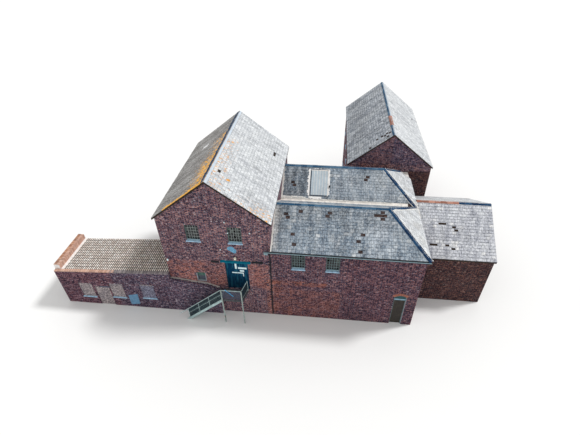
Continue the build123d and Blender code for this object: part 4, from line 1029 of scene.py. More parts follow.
def slate_all_roofs():
    """Slates on every pitched roof; the inner planes of the range stay bare beside the valley."""
    main_y = (MAIN_LOW.y, MAIN_HIGH.y)
    rear_y = (REAR_LOW.y, REAR_HIGH.y)
    front_outer = [(WALL_X, FRONT_LOW.y), (END_X, FRONT_LOW.y), FRONT_APEX, (WALL_X, FRONT_RIDGE_Y)]
    front_inner = [(WALL_X, FRONT_RIDGE_Y), FRONT_APEX, toward(VALLEY_END, FRONT_APEX, VALLEY_BARE),
                   (WALL_X, VALLEY_Y - VALLEY_BARE)]
    back_inner = [(WALL_X, VALLEY_Y + VALLEY_BARE), toward(VALLEY_END, BACK_APEX, VALLEY_BARE), BACK_APEX,
                  (WALL_X, BACK_RIDGE_Y)]
    back_outer = [(WALL_X, BACK_RIDGE_Y), BACK_APEX, BACK_CORNER, (WALL_X, BACK_HIGH.y)]
    hip_front = [(END_X, FRONT_LOW.y), (END_X, VALLEY_Y), VALLEY_END, FRONT_APEX]
    hip_back = [VALLEY_END, (END_X, VALLEY_Y), (END_X, BACK_HIGH.y), BACK_CORNER, BACK_APEX]
    wing_front = rectangle(END_X, WING_HIGH.x, WING_LOW.y, WING_RIDGE_Y)
    wing_back = rectangle(END_X, WING_HIGH.x, WING_RIDGE_Y, WING_HIGH.y)
    for name, *looks in (
            ("main_left", MAIN_LEFT, rectangle(MAIN_LOW.x, MAIN_X, *main_y), SLATE_LEFT_SHADED),
            ("main_right", MAIN_RIGHT, rectangle(MAIN_X, MAIN_HIGH.x, *main_y), SLATE_RIGHT_SUNLIT, LOST_MAIN),
            ("rear_left", REAR_LEFT, rectangle(REAR_LOW.x, REAR_X, *rear_y), SLATE_REAR_SHADED, LOST_REAR),
            ("rear_right", REAR_RIGHT, rectangle(REAR_X, REAR_HIGH.x, *rear_y), SLATE_RIGHT_SUNLIT,
             LOST_REAR_RIGHT),
            ("front_outer", FRONT_OUTER, front_outer, SLATE_BLUE, LOST_FRONT),
            ("front_inner", FRONT_INNER, front_inner, SLATE_BLUE),
            ("back_inner", BACK_INNER, back_inner, SLATE_BLUE, LOST_BACK),
            ("back_outer", BACK_OUTER, back_outer, SLATE_BLUE),
            ("hip_front", HIP, hip_front, SLATE_HIP_SUNLIT),
            ("hip_back", HIP, hip_back, SLATE_HIP_SUNLIT),
            ("wing_front", WING_FRONT, wing_front, SLATE_WING, LOST_WING, WING_STUMP),
            ("wing_back", WING_BACK, wing_back, SLATE_HIP_SUNLIT)):
        slate_roof("slates_" + name, *looks)


# Ridges, hips and the mortar beside them

def way_down(line, plane):
    """The way down a roof plane square to a ridge or hip."""
    way = np.cross(line, plane.out)
    way = way / np.linalg.norm(way)
    return way if way[2] < 0 else -way


def ridge_row(shape, start, end, *planes):
    """Angled tiles end to end along a ridge or hip, each a little out of line."""
    start, end = np.array(start), np.array(end)
    length = np.linalg.norm(end - start)
    line = (end - start) / length
    ways = [way_down(line, plane) for plane in planes]
    count = max(1, round(length / RIDGE_LENGTH))
    step = length / count
    for i in range(count):
        jog = random.uniform(-0.5, 0.5) * RIDGE_GAP
        outer = []
        inner = []
        for way, plane, order in zip(ways, planes, (1, -1)):
            edge = way * RIDGE_WING + plane.out * (RIDGE_LIFT + jog)
            shoulder = way * RIDGE_WING * RIDGE_SHOULDER + plane.out * (RIDGE_LIFT + jog + RIDGE_CROWN)
            outer.extend((edge, shoulder)[::order])
            inner.extend((edge - plane.out * RIDGE_THICK, shoulder - plane.out * RIDGE_THICK)[::order])
        near = start + line * (i * step + RIDGE_GAP / 2)
        far = start + line * ((i + 1) * step - RIDGE_GAP / 2)
        shape.prism(outer + inner[::-1], near, far)


def ribbon(shape, start, end, side, out, width, thick, step=STRIP_STEP, ragged=STRIP_RAGGED):
    """A strip of mortar or lead beside a line, in short lengths of uneven width."""
    start, end, side, out = (np.array(v, float) for v in (start, end, side, out))
    length = np.linalg.norm(end - start)
    line = (end - start) / length
    count = max(1, round(length / step))
    for i in range(count):
        near = start + line * (length * i / count)
        far = start + line * (length * (i + 1) / count)
        reach = side * width * random.uniform(1.0 - ragged, 1.0 + ragged)
        ring = [near, far, far + reach, near + reach]
        shape.block(ring, [corner + out * thick for corner in ring])


def strip_beside(shape, start, end, plane, inset, width, thick):
    """A ragged strip on a roof plane, below a ridge or hip and set off from it."""
    start, end = np.array(start, float), np.array(end, float)
    way = way_down((end - start) / np.linalg.norm(end - start), plane)
    shift = way * inset + plane.out * SLATE_TAIL * STRIP_SINK
    ribbon(shape, start + shift, end + shift, way, plane.out, width, thick)


def strip_between(shape, plane, near, far, side, width, thick):
    """A ragged strip on a roof plane between two places in plan, spreading to one side."""
    start, end = plane.over(*near, SLATE_TAIL), plane.over(*far, SLATE_TAIL)
    ribbon(shape, start, end, side, plane.out, width, thick)


def ridge_tiles(*rows):
    """Ridge or hip tiles for one piece: each row has two ends and the planes on its two sides."""
    shape = Shape()
    for row in rows:
        ridge_row(shape, *row)
    return shape


def ridge_all():
    """Tiles on every ridge and hip; the main block's stand for the frame's plain ridge solids."""
    ends = [(MAIN_X, y, MAIN_HIGH.z) for y in (MAIN_LOW.y, MAIN_HIGH.y)]
    main = ridge_tiles((*ends, MAIN_LEFT, MAIN_RIGHT))
    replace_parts(main.make("ridge_tiles_main", RIDGE_GREY), "ridge_tiles")
    front = ridge_tiles(((WALL_X, FRONT_RIDGE_Y, FRONT_HIGH.z), FRONT_TOP, FRONT_OUTER, FRONT_INNER))
    front.make("ridge_tiles_front", RIDGE_BLUE)
    back = ridge_tiles(((WALL_X, BACK_RIDGE_Y, BACK_HIGH.z), BACK_TOP, BACK_INNER, BACK_OUTER))
    back.make("ridge_tiles_back", RIDGE_BLUE)
    hips = ridge_tiles((FRONT_FOOT, FRONT_TOP, FRONT_OUTER, HIP),
                       (VALLEY_FOOT, FRONT_TOP, FRONT_INNER, HIP),
                       (VALLEY_FOOT, BACK_TOP, BACK_INNER, HIP),
                       (at_level(BACK_CORNER, BACK_EAVE), BACK_TOP, BACK_OUTER, HIP))
    hips.make("hip_tiles", HIP_BLUE)
    wing_right = WING_HIGH.x - RIDGE_INSET
    change = END_X + (wing_right - END_X) * WING_RED_SHARE
    for name, material, *sides in (("red", RIDGE_RED, END_X, change),
                                   ("blue", HIP_BLUE, change, wing_right)):
        ends = [(x, WING_RIDGE_Y, WING_HIGH.z) for x in sides]
        ridge_tiles((*ends, WING_FRONT, WING_BACK)).make("ridge_tiles_wing_" + name, material)
    rear, rear_red = Shape(), Shape()
    rear_ends = (REAR_LOW.y, *RED_RIDGE, REAR_HIGH.y - RIDGE_INSET)
    for shape, begin, stop in zip((rear, rear_red, rear), rear_ends, rear_ends[1:]):
        ends = [(REAR_X, y, REAR_HIGH.z) for y in (begin, stop)]
        ridge_row(shape, *ends, REAR_LEFT, REAR_RIGHT)
    rear.make("ridge_tiles_rear", RIDGE_BLUE)
    rear_red.make("ridge_tiles_rear_red", RIDGE_RED)


BED_END = 0.1
SHADE_END = 0.02
SHADE_STRIP = (0.15, 0.13, 0.02)


def bed_ridges():
    """Mortar along the hips and ridges, and a dark strip of painted shade on the main ridge's left side."""
    wing = [(x, WING_RIDGE_Y, WING_HIGH.z) for x in (END_X + BED_END, WING_HIGH.x - BED_END)]
    rear = [(REAR_X, y, REAR_HIGH.z) for y in (REAR_LOW.y + BED_END, REAR_HIGH.y - BED_END)]
    main = [(MAIN_X, y, MAIN_HIGH.z) for y in (MAIN_LOW.y + SHADE_END, MAIN_HIGH.y - SHADE_END)]
    front_start = (WALL_X + BED_END, FRONT_RIDGE_Y, FRONT_HIGH.z)
    bed = Shape()
    for start, end, plane, inset, width, thick in (
            (FRONT_FOOT, FRONT_TOP, HIP, 0.13, 0.10, 0.012),
            (VALLEY_FOOT, FRONT_TOP, HIP, 0.13, 0.08, 0.012),
            (VALLEY_FOOT, BACK_TOP, HIP, 0.13, 0.10, 0.012),
            (VALLEY_FOOT, BACK_TOP, BACK_INNER, 0.14, 0.05, 0.008),
            (front_start, FRONT_TOP, FRONT_INNER, 0.14, 0.06, 0.010),
            (*wing, WING_BACK, 0.13, 0.12, 0.012),
            (*rear, REAR_RIGHT, 0.15, 0.05, 0.008)):
        strip_beside(bed, start, end, plane, inset, width, thick)
    bed.make("ridge_bedding", PAINT["bedding_mortar"])
    shade = Shape()
    strip_beside(shade, *main, MAIN_LEFT, *SHADE_STRIP)
    shade.make("ridge_shadow_strip", HIP_BLUE)


# Mortar strips: their widths, their thickness, and how far they lie from walls, ridges and valley
FILLET = 0.10
WIDE_FILLET = 0.13
FILLET_THICK = 0.02
FILLET_OFF = 0.004
SHORT_OF_RIDGE = 0.2
FROM_VALLEY = 0.1
VALLEY_STRIPS = [(0.14, END_X - 2.0, 0.07), (0.22, WALL_X + FILLET_OFF + 1.9, 0.12)]
VALLEY_STRIP_THICK = 0.012
HIP_STRIP_X = END_X - 0.05
HIP_STRIP_ENDS = (VALLEY_Y - 1.2, VALLEY_Y + 0.9)
HIP_STRIP_SIZE = (0.05, 0.01)


def flash_joins():
    """Mortar where the range's roofs meet the main block, beside the valley and at the hip's foot."""
    x = WALL_X + FILLET_OFF
    joins = Shape()
    for plane, begin, stop, width in (
            (FRONT_OUTER, FRONT_LOW.y, FRONT_RIDGE_Y - SHORT_OF_RIDGE, FILLET),
            (FRONT_INNER, FRONT_RIDGE_Y + SHORT_OF_RIDGE, VALLEY_Y - SHORT_OF_RIDGE, FILLET),
            (BACK_INNER, VALLEY_Y + FROM_VALLEY, BACK_RIDGE_Y - SHORT_OF_RIDGE, WIDE_FILLET),
            (BACK_OUTER, BACK_RIDGE_Y + SHORT_OF_RIDGE, BACK_HIGH.y, FILLET)):
        strip_between(joins, plane, (x, begin), (x, stop), RIGHTWARD, width, FILLET_THICK)
    for away, stop, width in VALLEY_STRIPS:
        y = VALLEY_Y + away
        strip_between(joins, BACK_INNER, (x, y), (stop, y), BACK_INNER.up, width, VALLEY_STRIP_THICK)
    ends = [(HIP_STRIP_X, y) for y in HIP_STRIP_ENDS]
    strip_between(joins, HIP, *ends, -HIP.level, *HIP_STRIP_SIZE)
    joins.make("mortar_fillets", PAINT["bedding_mortar"])


# Brick faces

WINDOWS = solids_of("window_frames")
OPENING_BOARDS = solids_of("opening_boards")
DOOR_LOW, DOOR_HIGH = corner_box("door_frame")
ARCH_LOW, ARCH_HIGH = corner_box("arched_door")
MAIN_WALL_HIGH = corner_box("main_side_walls")[1]
GABLE_HIGH = corner_box("main_front_gable")[1]
RANGE_WALL_LOW = corner_box("range_front_wall")[0]
RANGE_BACK_HIGH = corner_box("range_back_wall")[1]
END_HIGH = corner_box("range_end_wall")[1]
WING_WALL_LOW, WING_WALL_HIGH = corner_box("wing_side_walls")
WING_END_LOW, WING_END_HIGH = corner_box("wing_end_wall")
REAR_GABLE_LOW, REAR_GABLE_HIGH = corner_box("rear_gable_walls")
LEANTO_FRONT_LOW, LEANTO_FRONT_HIGH = corner_box("leanto_front_wall")
LEANTO_LOW, LEANTO_HIGH = corner_box("leanto_walls")


def openings_on(axis, low, high, outline):
    """Openings whose frames lie in a wall, as (start, bottom, end, top) along that wall."""
    other = 1 - axis
    found = []
    first, last = min(u for u, _ in outline), max(u for u, _ in outline)
    for begin, stop in WINDOWS + OPENING_BOARDS + [(DOOR_LOW, DOOR_HIGH), (ARCH_LOW, ARCH_HIGH)]:
        if begin[other] > low and stop[other] < high and first < begin[axis] and stop[axis] < last:
            found.append((begin[axis], begin[2], stop[axis], stop[2]))
    return found


def cut_by(openings, start, end, level, lap):
    """The stretches from start to end that no opening takes at a level."""
    pieces = [(start, end)]
    for left, bottom, right, top in openings:
        if not bottom - COURSE * 0.5 < level < top + (lap and HEAD_HEIGHT):
            continue
        reach = lap if level > top else 0.0
        kept = []
        for a, b in pieces:
            kept.extend(((a, min(b, left - reach)), (max(a, right + reach), b)))
        pieces = [(a, b) for a, b in kept if b - a > NARROWEST_BRICK]
    return pieces


def in_wall(axis, along, across, level):
    """A place in a wall that runs along x, where the axis is 0, or along y."""
    return (along, across, level) if axis == 0 else (across, along, level)


def brick_course(shape, axis, sides, ends, parts, run, last, shift):
    """The bricks of one course, cut to the stretches that are left of it."""
    inner, outer = sides
    bottom, top = ends
    while run < last:
        start = (run - shift) * BOND - CORNER[axis]
        change = start + BOND * STRETCHER_SHARE
        for a, b in ((start + JOINT, change), (change + JOINT, start + BOND)):
            for left, right in parts:
                left, right = max(a, left), min(b, right)
                if right - left > NARROWEST_BRICK:
                    shape.box(in_wall(axis, left, inner, bottom), in_wall(axis, right, outer, top))
        run += 1


def brick_face(name, axis, face, way, outline, openings, material, lap=HEAD_LAP):
    """Bricks a little proud of a wall, in the bond that the material draws on it."""
    shape = Shape()
    low = min(z for _, z in outline)
    high = max(z for _, z in outline)
    sides = sorted((face - way * SUNK, face + way * RELIEF))
    for course in range(math.floor(low / COURSE), math.ceil(high / COURSE)):
        bottom = max(course * COURSE + JOINT, low)
        top = min((course + 1) * COURSE, high)
        middle = (bottom + top) / 2
        span = span_at(outline, middle)
        if not span or top - bottom < NARROWEST_BRICK:
            continue
        shift = 0.5 * (course % 2)
        run = math.floor((span[0] + CORNER[axis]) / BOND + shift)
        last = math.ceil((span[1] + CORNER[axis]) / BOND + shift)
        parts = cut_by(openings, span[0], span[1], middle, lap)
        brick_course(shape, axis, sides, (bottom, top), parts, run, last, shift)
    shape.make(name, material)


def heads_over(shape, axis, face, way, openings):
    """Bricks standing on end over each opening."""
    inner, outer = sorted((face - way * SUNK, face + way * HEAD_RELIEF))
    for left, _, right, top in openings:
        width = right - left + 2 * HEAD_LAP
        count = round(width / COURSE)
        step = width / count
        for i in range(count):
            start = left - HEAD_LAP + i * step + JOINT / 2
            shape.box(in_wall(axis, start, inner, top + HEAD_GAP),
                      in_wall(axis, start + step - JOINT, outer, top + HEAD_HEIGHT))


def gable_outline(left, right, eave, middle, top):
    shoulder = eave - GABLE_DROP
    return [(left, 0.0), (right, 0.0), (right, shoulder), (middle, top), (left, shoulder)]


def brick_all_walls():
    """Relief bricks on every outside wall, and brick heads over the openings."""
    right, back = MAIN_WALL_HIGH.x, MAIN_WALL_HIGH.y
    rear_low, rear_high = REAR_GABLE_LOW, REAR_GABLE_HIGH
    main_gable = gable_outline(0.0, right, MAIN_EAVE, MAIN_X, GABLE_HIGH.z)
    main_side = rectangle(0.0, back, 0.0, MAIN_EAVE - SIDE_DROP)
    range_front = rectangle(right, END_HIGH.x, 0.0, RANGE_EAVE - RANGE_DROP)
    wing_front = rectangle(END_HIGH.x, WING_END_HIGH.x, 0.0, WING_EAVE - SIDE_DROP)
    wing_gable = gable_outline(WING_END_LOW.y, WING_END_HIGH.y, WING_EAVE, WING_RIDGE_Y, WING_END_HIGH.z)
    rear_side = rectangle(rear_low.y, rear_high.y, 0.0, REAR_EAVE - SIDE_DROP)
    rear_gable = gable_outline(rear_low.x, rear_high.x, REAR_EAVE, REAR_X, rear_high.z)
    heads = Shape()
    for name, axis, face, way, outline in (
            ("main_front", 0, 0.0, -1, main_gable), ("main_left", 1, 0.0, -1, main_side),
            ("main_back", 0, back, 1, main_gable), ("range_front", 0, 0.0, -1, range_front),
            ("wing_front", 0, WING_WALL_LOW.y, -1, wing_front),
            ("wing_end", 1, WING_END_HIGH.x, 1, wing_gable),
            ("rear_left", 1, rear_low.x, -1, rear_side), ("rear_right", 1, rear_high.x, 1, rear_side),
            ("rear_front", 0, rear_low.y, -1, rear_gable), ("rear_back", 0, rear_high.y, 1, rear_gable)):
        behind = sorted((face, face - way * WALL_DEPTH))
        openings = openings_on(axis, *behind, outline)
        brick_face("bricks_" + name, axis, face, way, outline, openings, BRICK_OLD)
        heads_over(heads, axis, face, way, [o for o in openings if o[3] != ARCH_HIGH.z])
    face = LEANTO_FRONT_LOW.y
    outline = rectangle(LEANTO_FRONT_LOW.x, 0.0, 0.0, LEANTO_FRONT_HIGH.z - LEANTO_DROP)
    openings = openings_on(0, face, face + WALL_DEPTH, outline)
    brick_face("bricks_leanto_front", 0, face, -1, outline, openings, BRICK_LEANTO, 0.0)
    heads.make("brick_heads", BRICK_OLD)


# Arched doorway

ARCH_RISE = 0.17
ARCH_JOINT = 0.06
ARCH_GAP = 0.01
ARCH_SPRING = ARCH_HIGH.z - ARCH_RISE
JAMB_FACE = 0.02
JAMB_WIDTH = 0.035
TRANSOM_LOW = 2.60
TRANSOM_HIGH = TRANSOM_LOW + 0.13
TRANSOM_INSET = 0.03
PANEL_INSET = 0.08
PANEL_OVER_SPRING = 0.04
PANEL_PROUD = 0.01
ARCH_RELIEF = HEAD_RELIEF * 2
ARCH_BOARD_INSET = 0.07
ARCH_BOARD_FOOT = 0.02
ARCH_BOARD_PROUD = 0.008
ARCH_BOARD_WIDTH = 0.12


def ring_the_arch():
    """A ring of bricks on end over the arched doorway, and the pale jamb and boards inside it."""
    half = (ARCH_HIGH.x - ARCH_LOW.x) / 2
    middle = (ARCH_LOW.x + ARCH_HIGH.x) / 2
    radius = (half * half + ARCH_RISE * ARCH_RISE) / (2 * ARCH_RISE)
    centre = ARCH_HIGH.z - radius
    sweep = math.asin(half / radius)
    count = round(2 * sweep * radius / COURSE)
    near, far = radius + ARCH_GAP, radius + HEAD_HEIGHT
    ring = Shape()
    for i in range(count):
        first, last = (sweep * (2 * (i + share) / count - 1) for share in (ARCH_JOINT, 1.0 - ARCH_JOINT))
        corners = [(middle + reach * math.sin(turn), centre + reach * math.cos(turn))
                   for turn, reach in ((first, near), (last, near), (last, far), (first, far))]
        ring.block(*([(x, y, z) for x, z in corners] for y in (0.0, -ARCH_RELIEF)))
    ring.make("arch_ring", ARCH_BRICK)
    face = ARCH_LOW.y
    left, right = ARCH_LOW.x, ARCH_HIGH.x
    make_box("arch_jamb", (right - JAMB_WIDTH, JAMB_FACE, 0.0), (right - SUNK, face - SUNK, ARCH_SPRING),
             PAINT["jamb_grey"])
    make_box("arch_transom_bar", (left + TRANSOM_INSET, face - TRANSOM_INSET, TRANSOM_LOW),
             (right - TRANSOM_INSET, face, TRANSOM_HIGH), PAINT["transom_blue"])
    for name, inset, bottom, top, proud, material in (
            ("arch_top_panel", PANEL_INSET, TRANSOM_HIGH, ARCH_SPRING + PANEL_OVER_SPRING, PANEL_PROUD,
             PAINT["transom_green"]),
            ("arch_boards", ARCH_BOARD_INSET, ARCH_BOARD_FOOT, TRANSOM_LOW, ARCH_BOARD_PROUD, ARCH_BOARDS)):
        boards = Shape()
        board_face(boards, (left + inset, 0.0, bottom), (right - inset, 0.0, top), face + JAMB_FACE, proud,
                   ARCH_BOARD_WIDTH)
        boards.make(name, material)


# Windows

RAIL_HEIGHT = 0.10
RAIL_PROUD = 0.012
NARROW_WINDOW = 0.75
REVEAL = 0.05
REVEAL_FIT = 0.001
REVEAL_FACE = 0.01
REVEAL_FOOT = 0.03
LEFT_REVEAL_DROP = 0.12
RIGHT_REVEAL_DROP = 0.05
LEDGE_INSET = 0.06
LEDGE_FACE = 0.02
SMALL_LOW, SMALL_HIGH = min(WINDOWS, key=lambda pair: pair[1].x - pair[0].x + (pair[1].y - pair[0].y))


def glaze(bars, panes, low, high):
    """Glazing bars and single panes for one window, some of the panes gone."""
    low, high = np.array(low), np.array(high)
    size = high - low
    thin = 0 if size[0] < size[1] else 1
    wide = 1 - thin
    columns = max(2, round(size[wide] / PANE_WIDTH))
    rows = max(2, round(size[2] / PANE_HEIGHT))
    middle = (low[thin] + high[thin]) / 2

    def block(shape, start, end, bottom, top, depth):
        near = [0.0, 0.0, bottom]
        far = [0.0, 0.0, top]
        near[wide], far[wide] = start, end
        near[thin], far[thin] = middle - depth / 2, middle + depth / 2
        shape.box(near, far)

    half = BAR_WIDTH / 2
    for i in range(1, columns):
        at = low[wide] + size[wide] * i / columns
        block(bars, at - half, at + half, low[2], high[2], BAR_DEPTH)
    for j in range(1, rows):
        at = low[2] + size[2] * j / rows
        block(bars, low[wide], high[wide], at - half, at + half, BAR_DEPTH * CROSS_BAR_SHARE)
    for i in range(columns):
        for j in range(rows):
            if random.random() < PANES_LOST:
                continue
            start = low[wide] + size[wide] * i / columns + PANE_INSET
            end = low[wide] + size[wide] * (i + 1) / columns - PANE_INSET
            bottom = low[2] + size[2] * j / rows + PANE_INSET
            top = low[2] + size[2] * (j + 1) / rows - PANE_INSET
            block(panes, start, end, bottom, top, PANE_THICK)


def glaze_all():
    """Bars and panes in every upright window; the smallest has one plain pane."""
    bars, panes, small = Shape(), Shape(), Shape()
    for low, high in solids_of("window_glass"):
        if high[0] - low[0] > SOLID_GLASS and high[1] - low[1] > SOLID_GLASS:
            continue
        if high[0] - low[0] < PLAIN_WINDOW and high[1] - low[1] < PLAIN_WINDOW:
            small.box(low, high)
        else:
            glaze(bars, panes, low, high)
    bars.make("glazing_bars", PAINT["window_paint"])
    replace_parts(panes.make("window_panes", PANE), "window_glass")
    small.make("small_window_pane", SMALL_PANE)


def front_side(low, high, thin):
    """Which face of a window frame looks out of the wall that it lies in."""
    middle = (low[thin] + high[thin]) / 2
    walls = [0.0, MAIN_WALL_HIGH.y, RANGE_BACK_HIGH.y, WING_WALL_HIGH.y, REAR_GABLE_HIGH.y,
             RANGE_WALL_LOW.y]
    if thin == 0:
        walls = [0.0, WING_END_HIGH.x, REAR_GABLE_LOW.x, REAR_GABLE_HIGH.x]
    nearest = min(walls, key=lambda wall: abs(wall - middle))
    return high[thin] if nearest > middle else low[thin]


def rail_windows():
    """A pale lower rail on each glazed window, and the small window's pale reveals."""
    rails = Shape()
    for low, high in WINDOWS:
        thin = 0 if high.x - low.x < high.y - low.y else 1
        if high.x - low.x < NARROW_WINDOW and thin == 1:
            continue
        outer = front_side(low, high, thin)
        proud = RAIL_PROUD if outer == high[thin] else -RAIL_PROUD
        start, end = Vector(low), Vector(high)
        start[thin], end[thin] = sorted((outer, outer + proud))
        end.z = low.z + RAIL_HEIGHT
        rails.box(start, end)
    rails.make("window_lower_rails", PAINT["rail_paint"])
    low, high = SMALL_LOW, SMALL_HIGH
    foot = low.z + REVEAL_FOOT
    reveals = Shape()
    for start, end, drop in ((low.x + REVEAL_FIT, low.x + REVEAL, LEFT_REVEAL_DROP),
                             (high.x - REVEAL, high.x - REVEAL_FIT, RIGHT_REVEAL_DROP)):
        reveals.box((start, REVEAL_FACE, foot), (end, low.y, high.z - drop))
    reveals.box((low.x + LEDGE_INSET, LEDGE_FACE, low.z + REVEAL_FIT), (high.x - LEDGE_INSET, low.y, foot))
    reveals.make("small_window_reveals", PAINT["jamb_grey"])


# Rooflight

ROOFLIGHT_LOW, ROOFLIGHT_HIGH = corner_box("rooflight_frame")
ROOFLIGHT_PANES = 6
ROOFLIGHT_KERB = 0.08
CAPPING_WIDTH = 0.06
KERB_LIFT = 0.076
CAPPING_THICK = 0.004
CAPPING_RAGGED = 0.02
FLASHING_THICK = 0.012
FLASHING_WIDE = 0.16
FLASHING_NARROW = 0.09
FLASHING_PAST = 0.05
FLASHING_START = 0.1
FLASHING_ABOVE = 0.01
APRON = 0.9
ROOF_PANE_GAP = 0.004
ROOF_PANE_HEIGHTS = (KERB_LIFT - 0.003, KERB_LIFT + 0.003)
ROOF_BAR_HALF = 0.012
ROOF_BAR_HEIGHTS = (KERB_LIFT - 0.02, KERB_LIFT + 0.022)
VENT_PLACE = (11.20, 6.49)
VENT_HEIGHT = 0.12
VENT_TOP = 0.15
VENT_RADIUS = 0.055
VENT_CAP_RADIUS = 0.075
VENT_SIDES = 12


def glaze_rooflight():
    """The rooflight's panes and the bars between them, which run up the slope."""
    left, right = ROOFLIGHT_LOW.x + ROOFLIGHT_KERB / 2, ROOFLIGHT_HIGH.x - ROOFLIGHT_KERB / 2
    _, foot = BACK_INNER.local(0.0, ROOFLIGHT_LOW.y + ROOFLIGHT_KERB / 2)
    _, head = BACK_INNER.local(0.0, ROOFLIGHT_HIGH.y - ROOFLIGHT_KERB / 2)
    panes, bars = Shape(), Shape()
    step = (right - left) / ROOFLIGHT_PANES
    for i in range(ROOFLIGHT_PANES):
        across = (left + i * step + ROOF_PANE_GAP, left + (i + 1) * step - ROOF_PANE_GAP)
        BACK_INNER.slab(panes, across, (foot, head), ROOF_PANE_HEIGHTS)
    for i in range(1, ROOFLIGHT_PANES):
        at = left + i * step
        BACK_INNER.slab(bars, (at - ROOF_BAR_HALF, at + ROOF_BAR_HALF), (foot, head), ROOF_BAR_HEIGHTS)
    panes.make("rooflight_panes", PAINT["rooflight_pane"])
    bars.make("rooflight_bars", PAINT["lead"])


def flash_rooflight():
    """Pale flashing round the rooflight, pale lead on the two sides of its kerb that face the light, partly
    painted sunlight, and the vent beside it.
    """
    left, right = ROOFLIGHT_LOW.x, ROOFLIGHT_HIGH.x
    low, high = ROOFLIGHT_LOW.y, ROOFLIGHT_HIGH.y
    beside, below = left - FLASHING_PAST, low - FLASHING_PAST
    past, above = high + FLASHING_PAST, high + FLASHING_ABOVE
    plane = BACK_INNER
    flashing = Shape()
    for near, far, side, width in (
            ((beside, low), (beside, past), LEFTWARD, FLASHING_WIDE),
            ((right, low + FLASHING_START), (right, past), RIGHTWARD, FLASHING_NARROW),
            ((left, above), (right, above), plane.up, FLASHING_NARROW),
            ((left - FLASHING_START, below), (left + APRON, below), -plane.up, FLASHING_WIDE)):
        strip_between(flashing, plane, near, far, side, width, FLASHING_THICK)
    flashing.make("rooflight_flashing", PAINT["white_flashing"])
    # Lead capping only on the kerb's right and top sides, which face the light: lead, laid on those sides
    # alone as painted sunlight
    capping = Shape()
    lift = KERB_LIFT + FLASHING_THICK
    inner_x, inner_y = right - CAPPING_WIDTH, high - CAPPING_WIDTH
    for near, far, side in (((inner_x, low), (inner_x, high), RIGHTWARD),
                            ((left, inner_y), (right, inner_y), plane.up)):
        ribbon(capping, plane.over(*near, lift), plane.over(*far, lift), side, plane.out, CAPPING_WIDTH,
               CAPPING_THICK, ragged=CAPPING_RAGGED)
    capping.make("rooflight_capping_lit_sides", PAINT["lead"])
    vent = Shape()
    foot = plane.over(*VENT_PLACE, SLATE_TAIL)
    neck = foot + plane.out * VENT_HEIGHT
    vent.rod(foot, neck, VENT_RADIUS, VENT_SIDES)
    vent.rod(neck, foot + plane.out * VENT_TOP, VENT_CAP_RADIUS, VENT_SIDES)
    vent.make("roof_vent", PAINT["black_iron"])


# Doors

LEAF_LEFT_LOW, LEAF_LEFT_HIGH = corner_box("door_leaf_left")
LEAF_RIGHT_LOW, LEAF_RIGHT_HIGH = corner_box("door_leaf_right")
LEAF_FACE = LEAF_LEFT_LOW.y - BOARD_PROUD
LEAF_SPLIT = (LEAF_LEFT_HIGH.x + LEAF_RIGHT_LOW.x) / 2
DOOR_GAP = 0.008
BOARD_SUNK = 0.001
CLOSING_BOARD_WIDTH = 0.19
CLOSING_BOARD_PROUD = 0.008
DOOR_PLATES = [((4.87, 5.06), (5.00, 4.56)), ((5.09, 4.74), (5.70, 4.57)), ((5.20, 4.46), (5.50, 4.30)),
               ((4.62, 4.22), (5.46, 4.12)), ((5.40, 4.12), (5.46, 3.84))]
DOOR_RAILS = [2.62, 3.55, 5.10]
DOOR_RAIL_HEIGHT = 0.09
DOOR_RAIL_INSET = 0.01
PLATE_THICK = 0.006
NARROWEST_PLATE = 0.01


def board_face(shape, low, high, face, proud, width=BOARD_WIDTH):
    """Upright boards over a face that looks to the front."""
    count = max(1, round((high[0] - low[0]) / width))
    step = (high[0] - low[0]) / count
    for i in range(count):
        start = low[0] + i * step + BOARD_GROOVE / 2
        end = low[0] + (i + 1) * step - BOARD_GROOVE / 2
        bottom = low[2] + random.uniform(0.0, BOARD_PLAY)
        shape.box((start, face - proud, bottom), (end, face + BOARD_SUNK, high[2]))


def board_doors():
    """Boards on the two leaves and on the closed openings."""
    for side, low, high in (("left", LEAF_LEFT_LOW, LEAF_LEFT_HIGH),
                            ("right", LEAF_RIGHT_LOW, LEAF_RIGHT_HIGH)):
        leaf = Shape()
        board_face(leaf, low, high, LEAF_LEFT_LOW.y, BOARD_PROUD)
        leaf.make("boards_" + side + "_leaf", DOOR_PAINT, side + "_leaf")
    closing = Shape()
    for low, high in OPENING_BOARDS:
        board_face(closing, low, high, low.y, CLOSING_BOARD_PROUD, CLOSING_BOARD_WIDTH)
    closing.make("closing_boards_face", BOARDS)


def plate(shape, start, end, y, thick):
    """A flat plate on a face that looks to the front, between two corners given as (x, z)."""
    shape.box((min(start[0], end[0]), y - thick, min(start[1], end[1])),
              (max(start[0], end[0]), y, max(start[1], end[1])))


def fit_door():
    """Plates and rails on the leaves: what crosses the middle is split between them."""
    for side, low, high in (("left", LEAF_LEFT_LOW.x, LEAF_SPLIT - DOOR_GAP),
                            ("right", LEAF_SPLIT + DOOR_GAP, LEAF_RIGHT_HIGH.x)):
        plates = Shape()
        for start, end in DOOR_PLATES:
            a, b = max(start[0], low), min(end[0], high)
            if b - a > NARROWEST_PLATE:
                plate(plates, (a, start[1]), (b, end[1]), LEAF_FACE, PLATE_THICK)
        plates.make("door_plates_" + side, PAINT["white_plate"], side + "_leaf")
        rails = Shape()
        start_x = max(low, LEAF_LEFT_LOW.x + DOOR_RAIL_INSET)
        end_x = min(high, LEAF_RIGHT_HIGH.x - DOOR_RAIL_INSET)
        for level in DOOR_RAILS:
            plate(rails, (start_x, level), (end_x, level + DOOR_RAIL_HEIGHT), LEAF_FACE, BOARD_PROUD)
        rails.make("door_rails_" + side, DOOR_PAINT, side + "_leaf")


# Lean-to

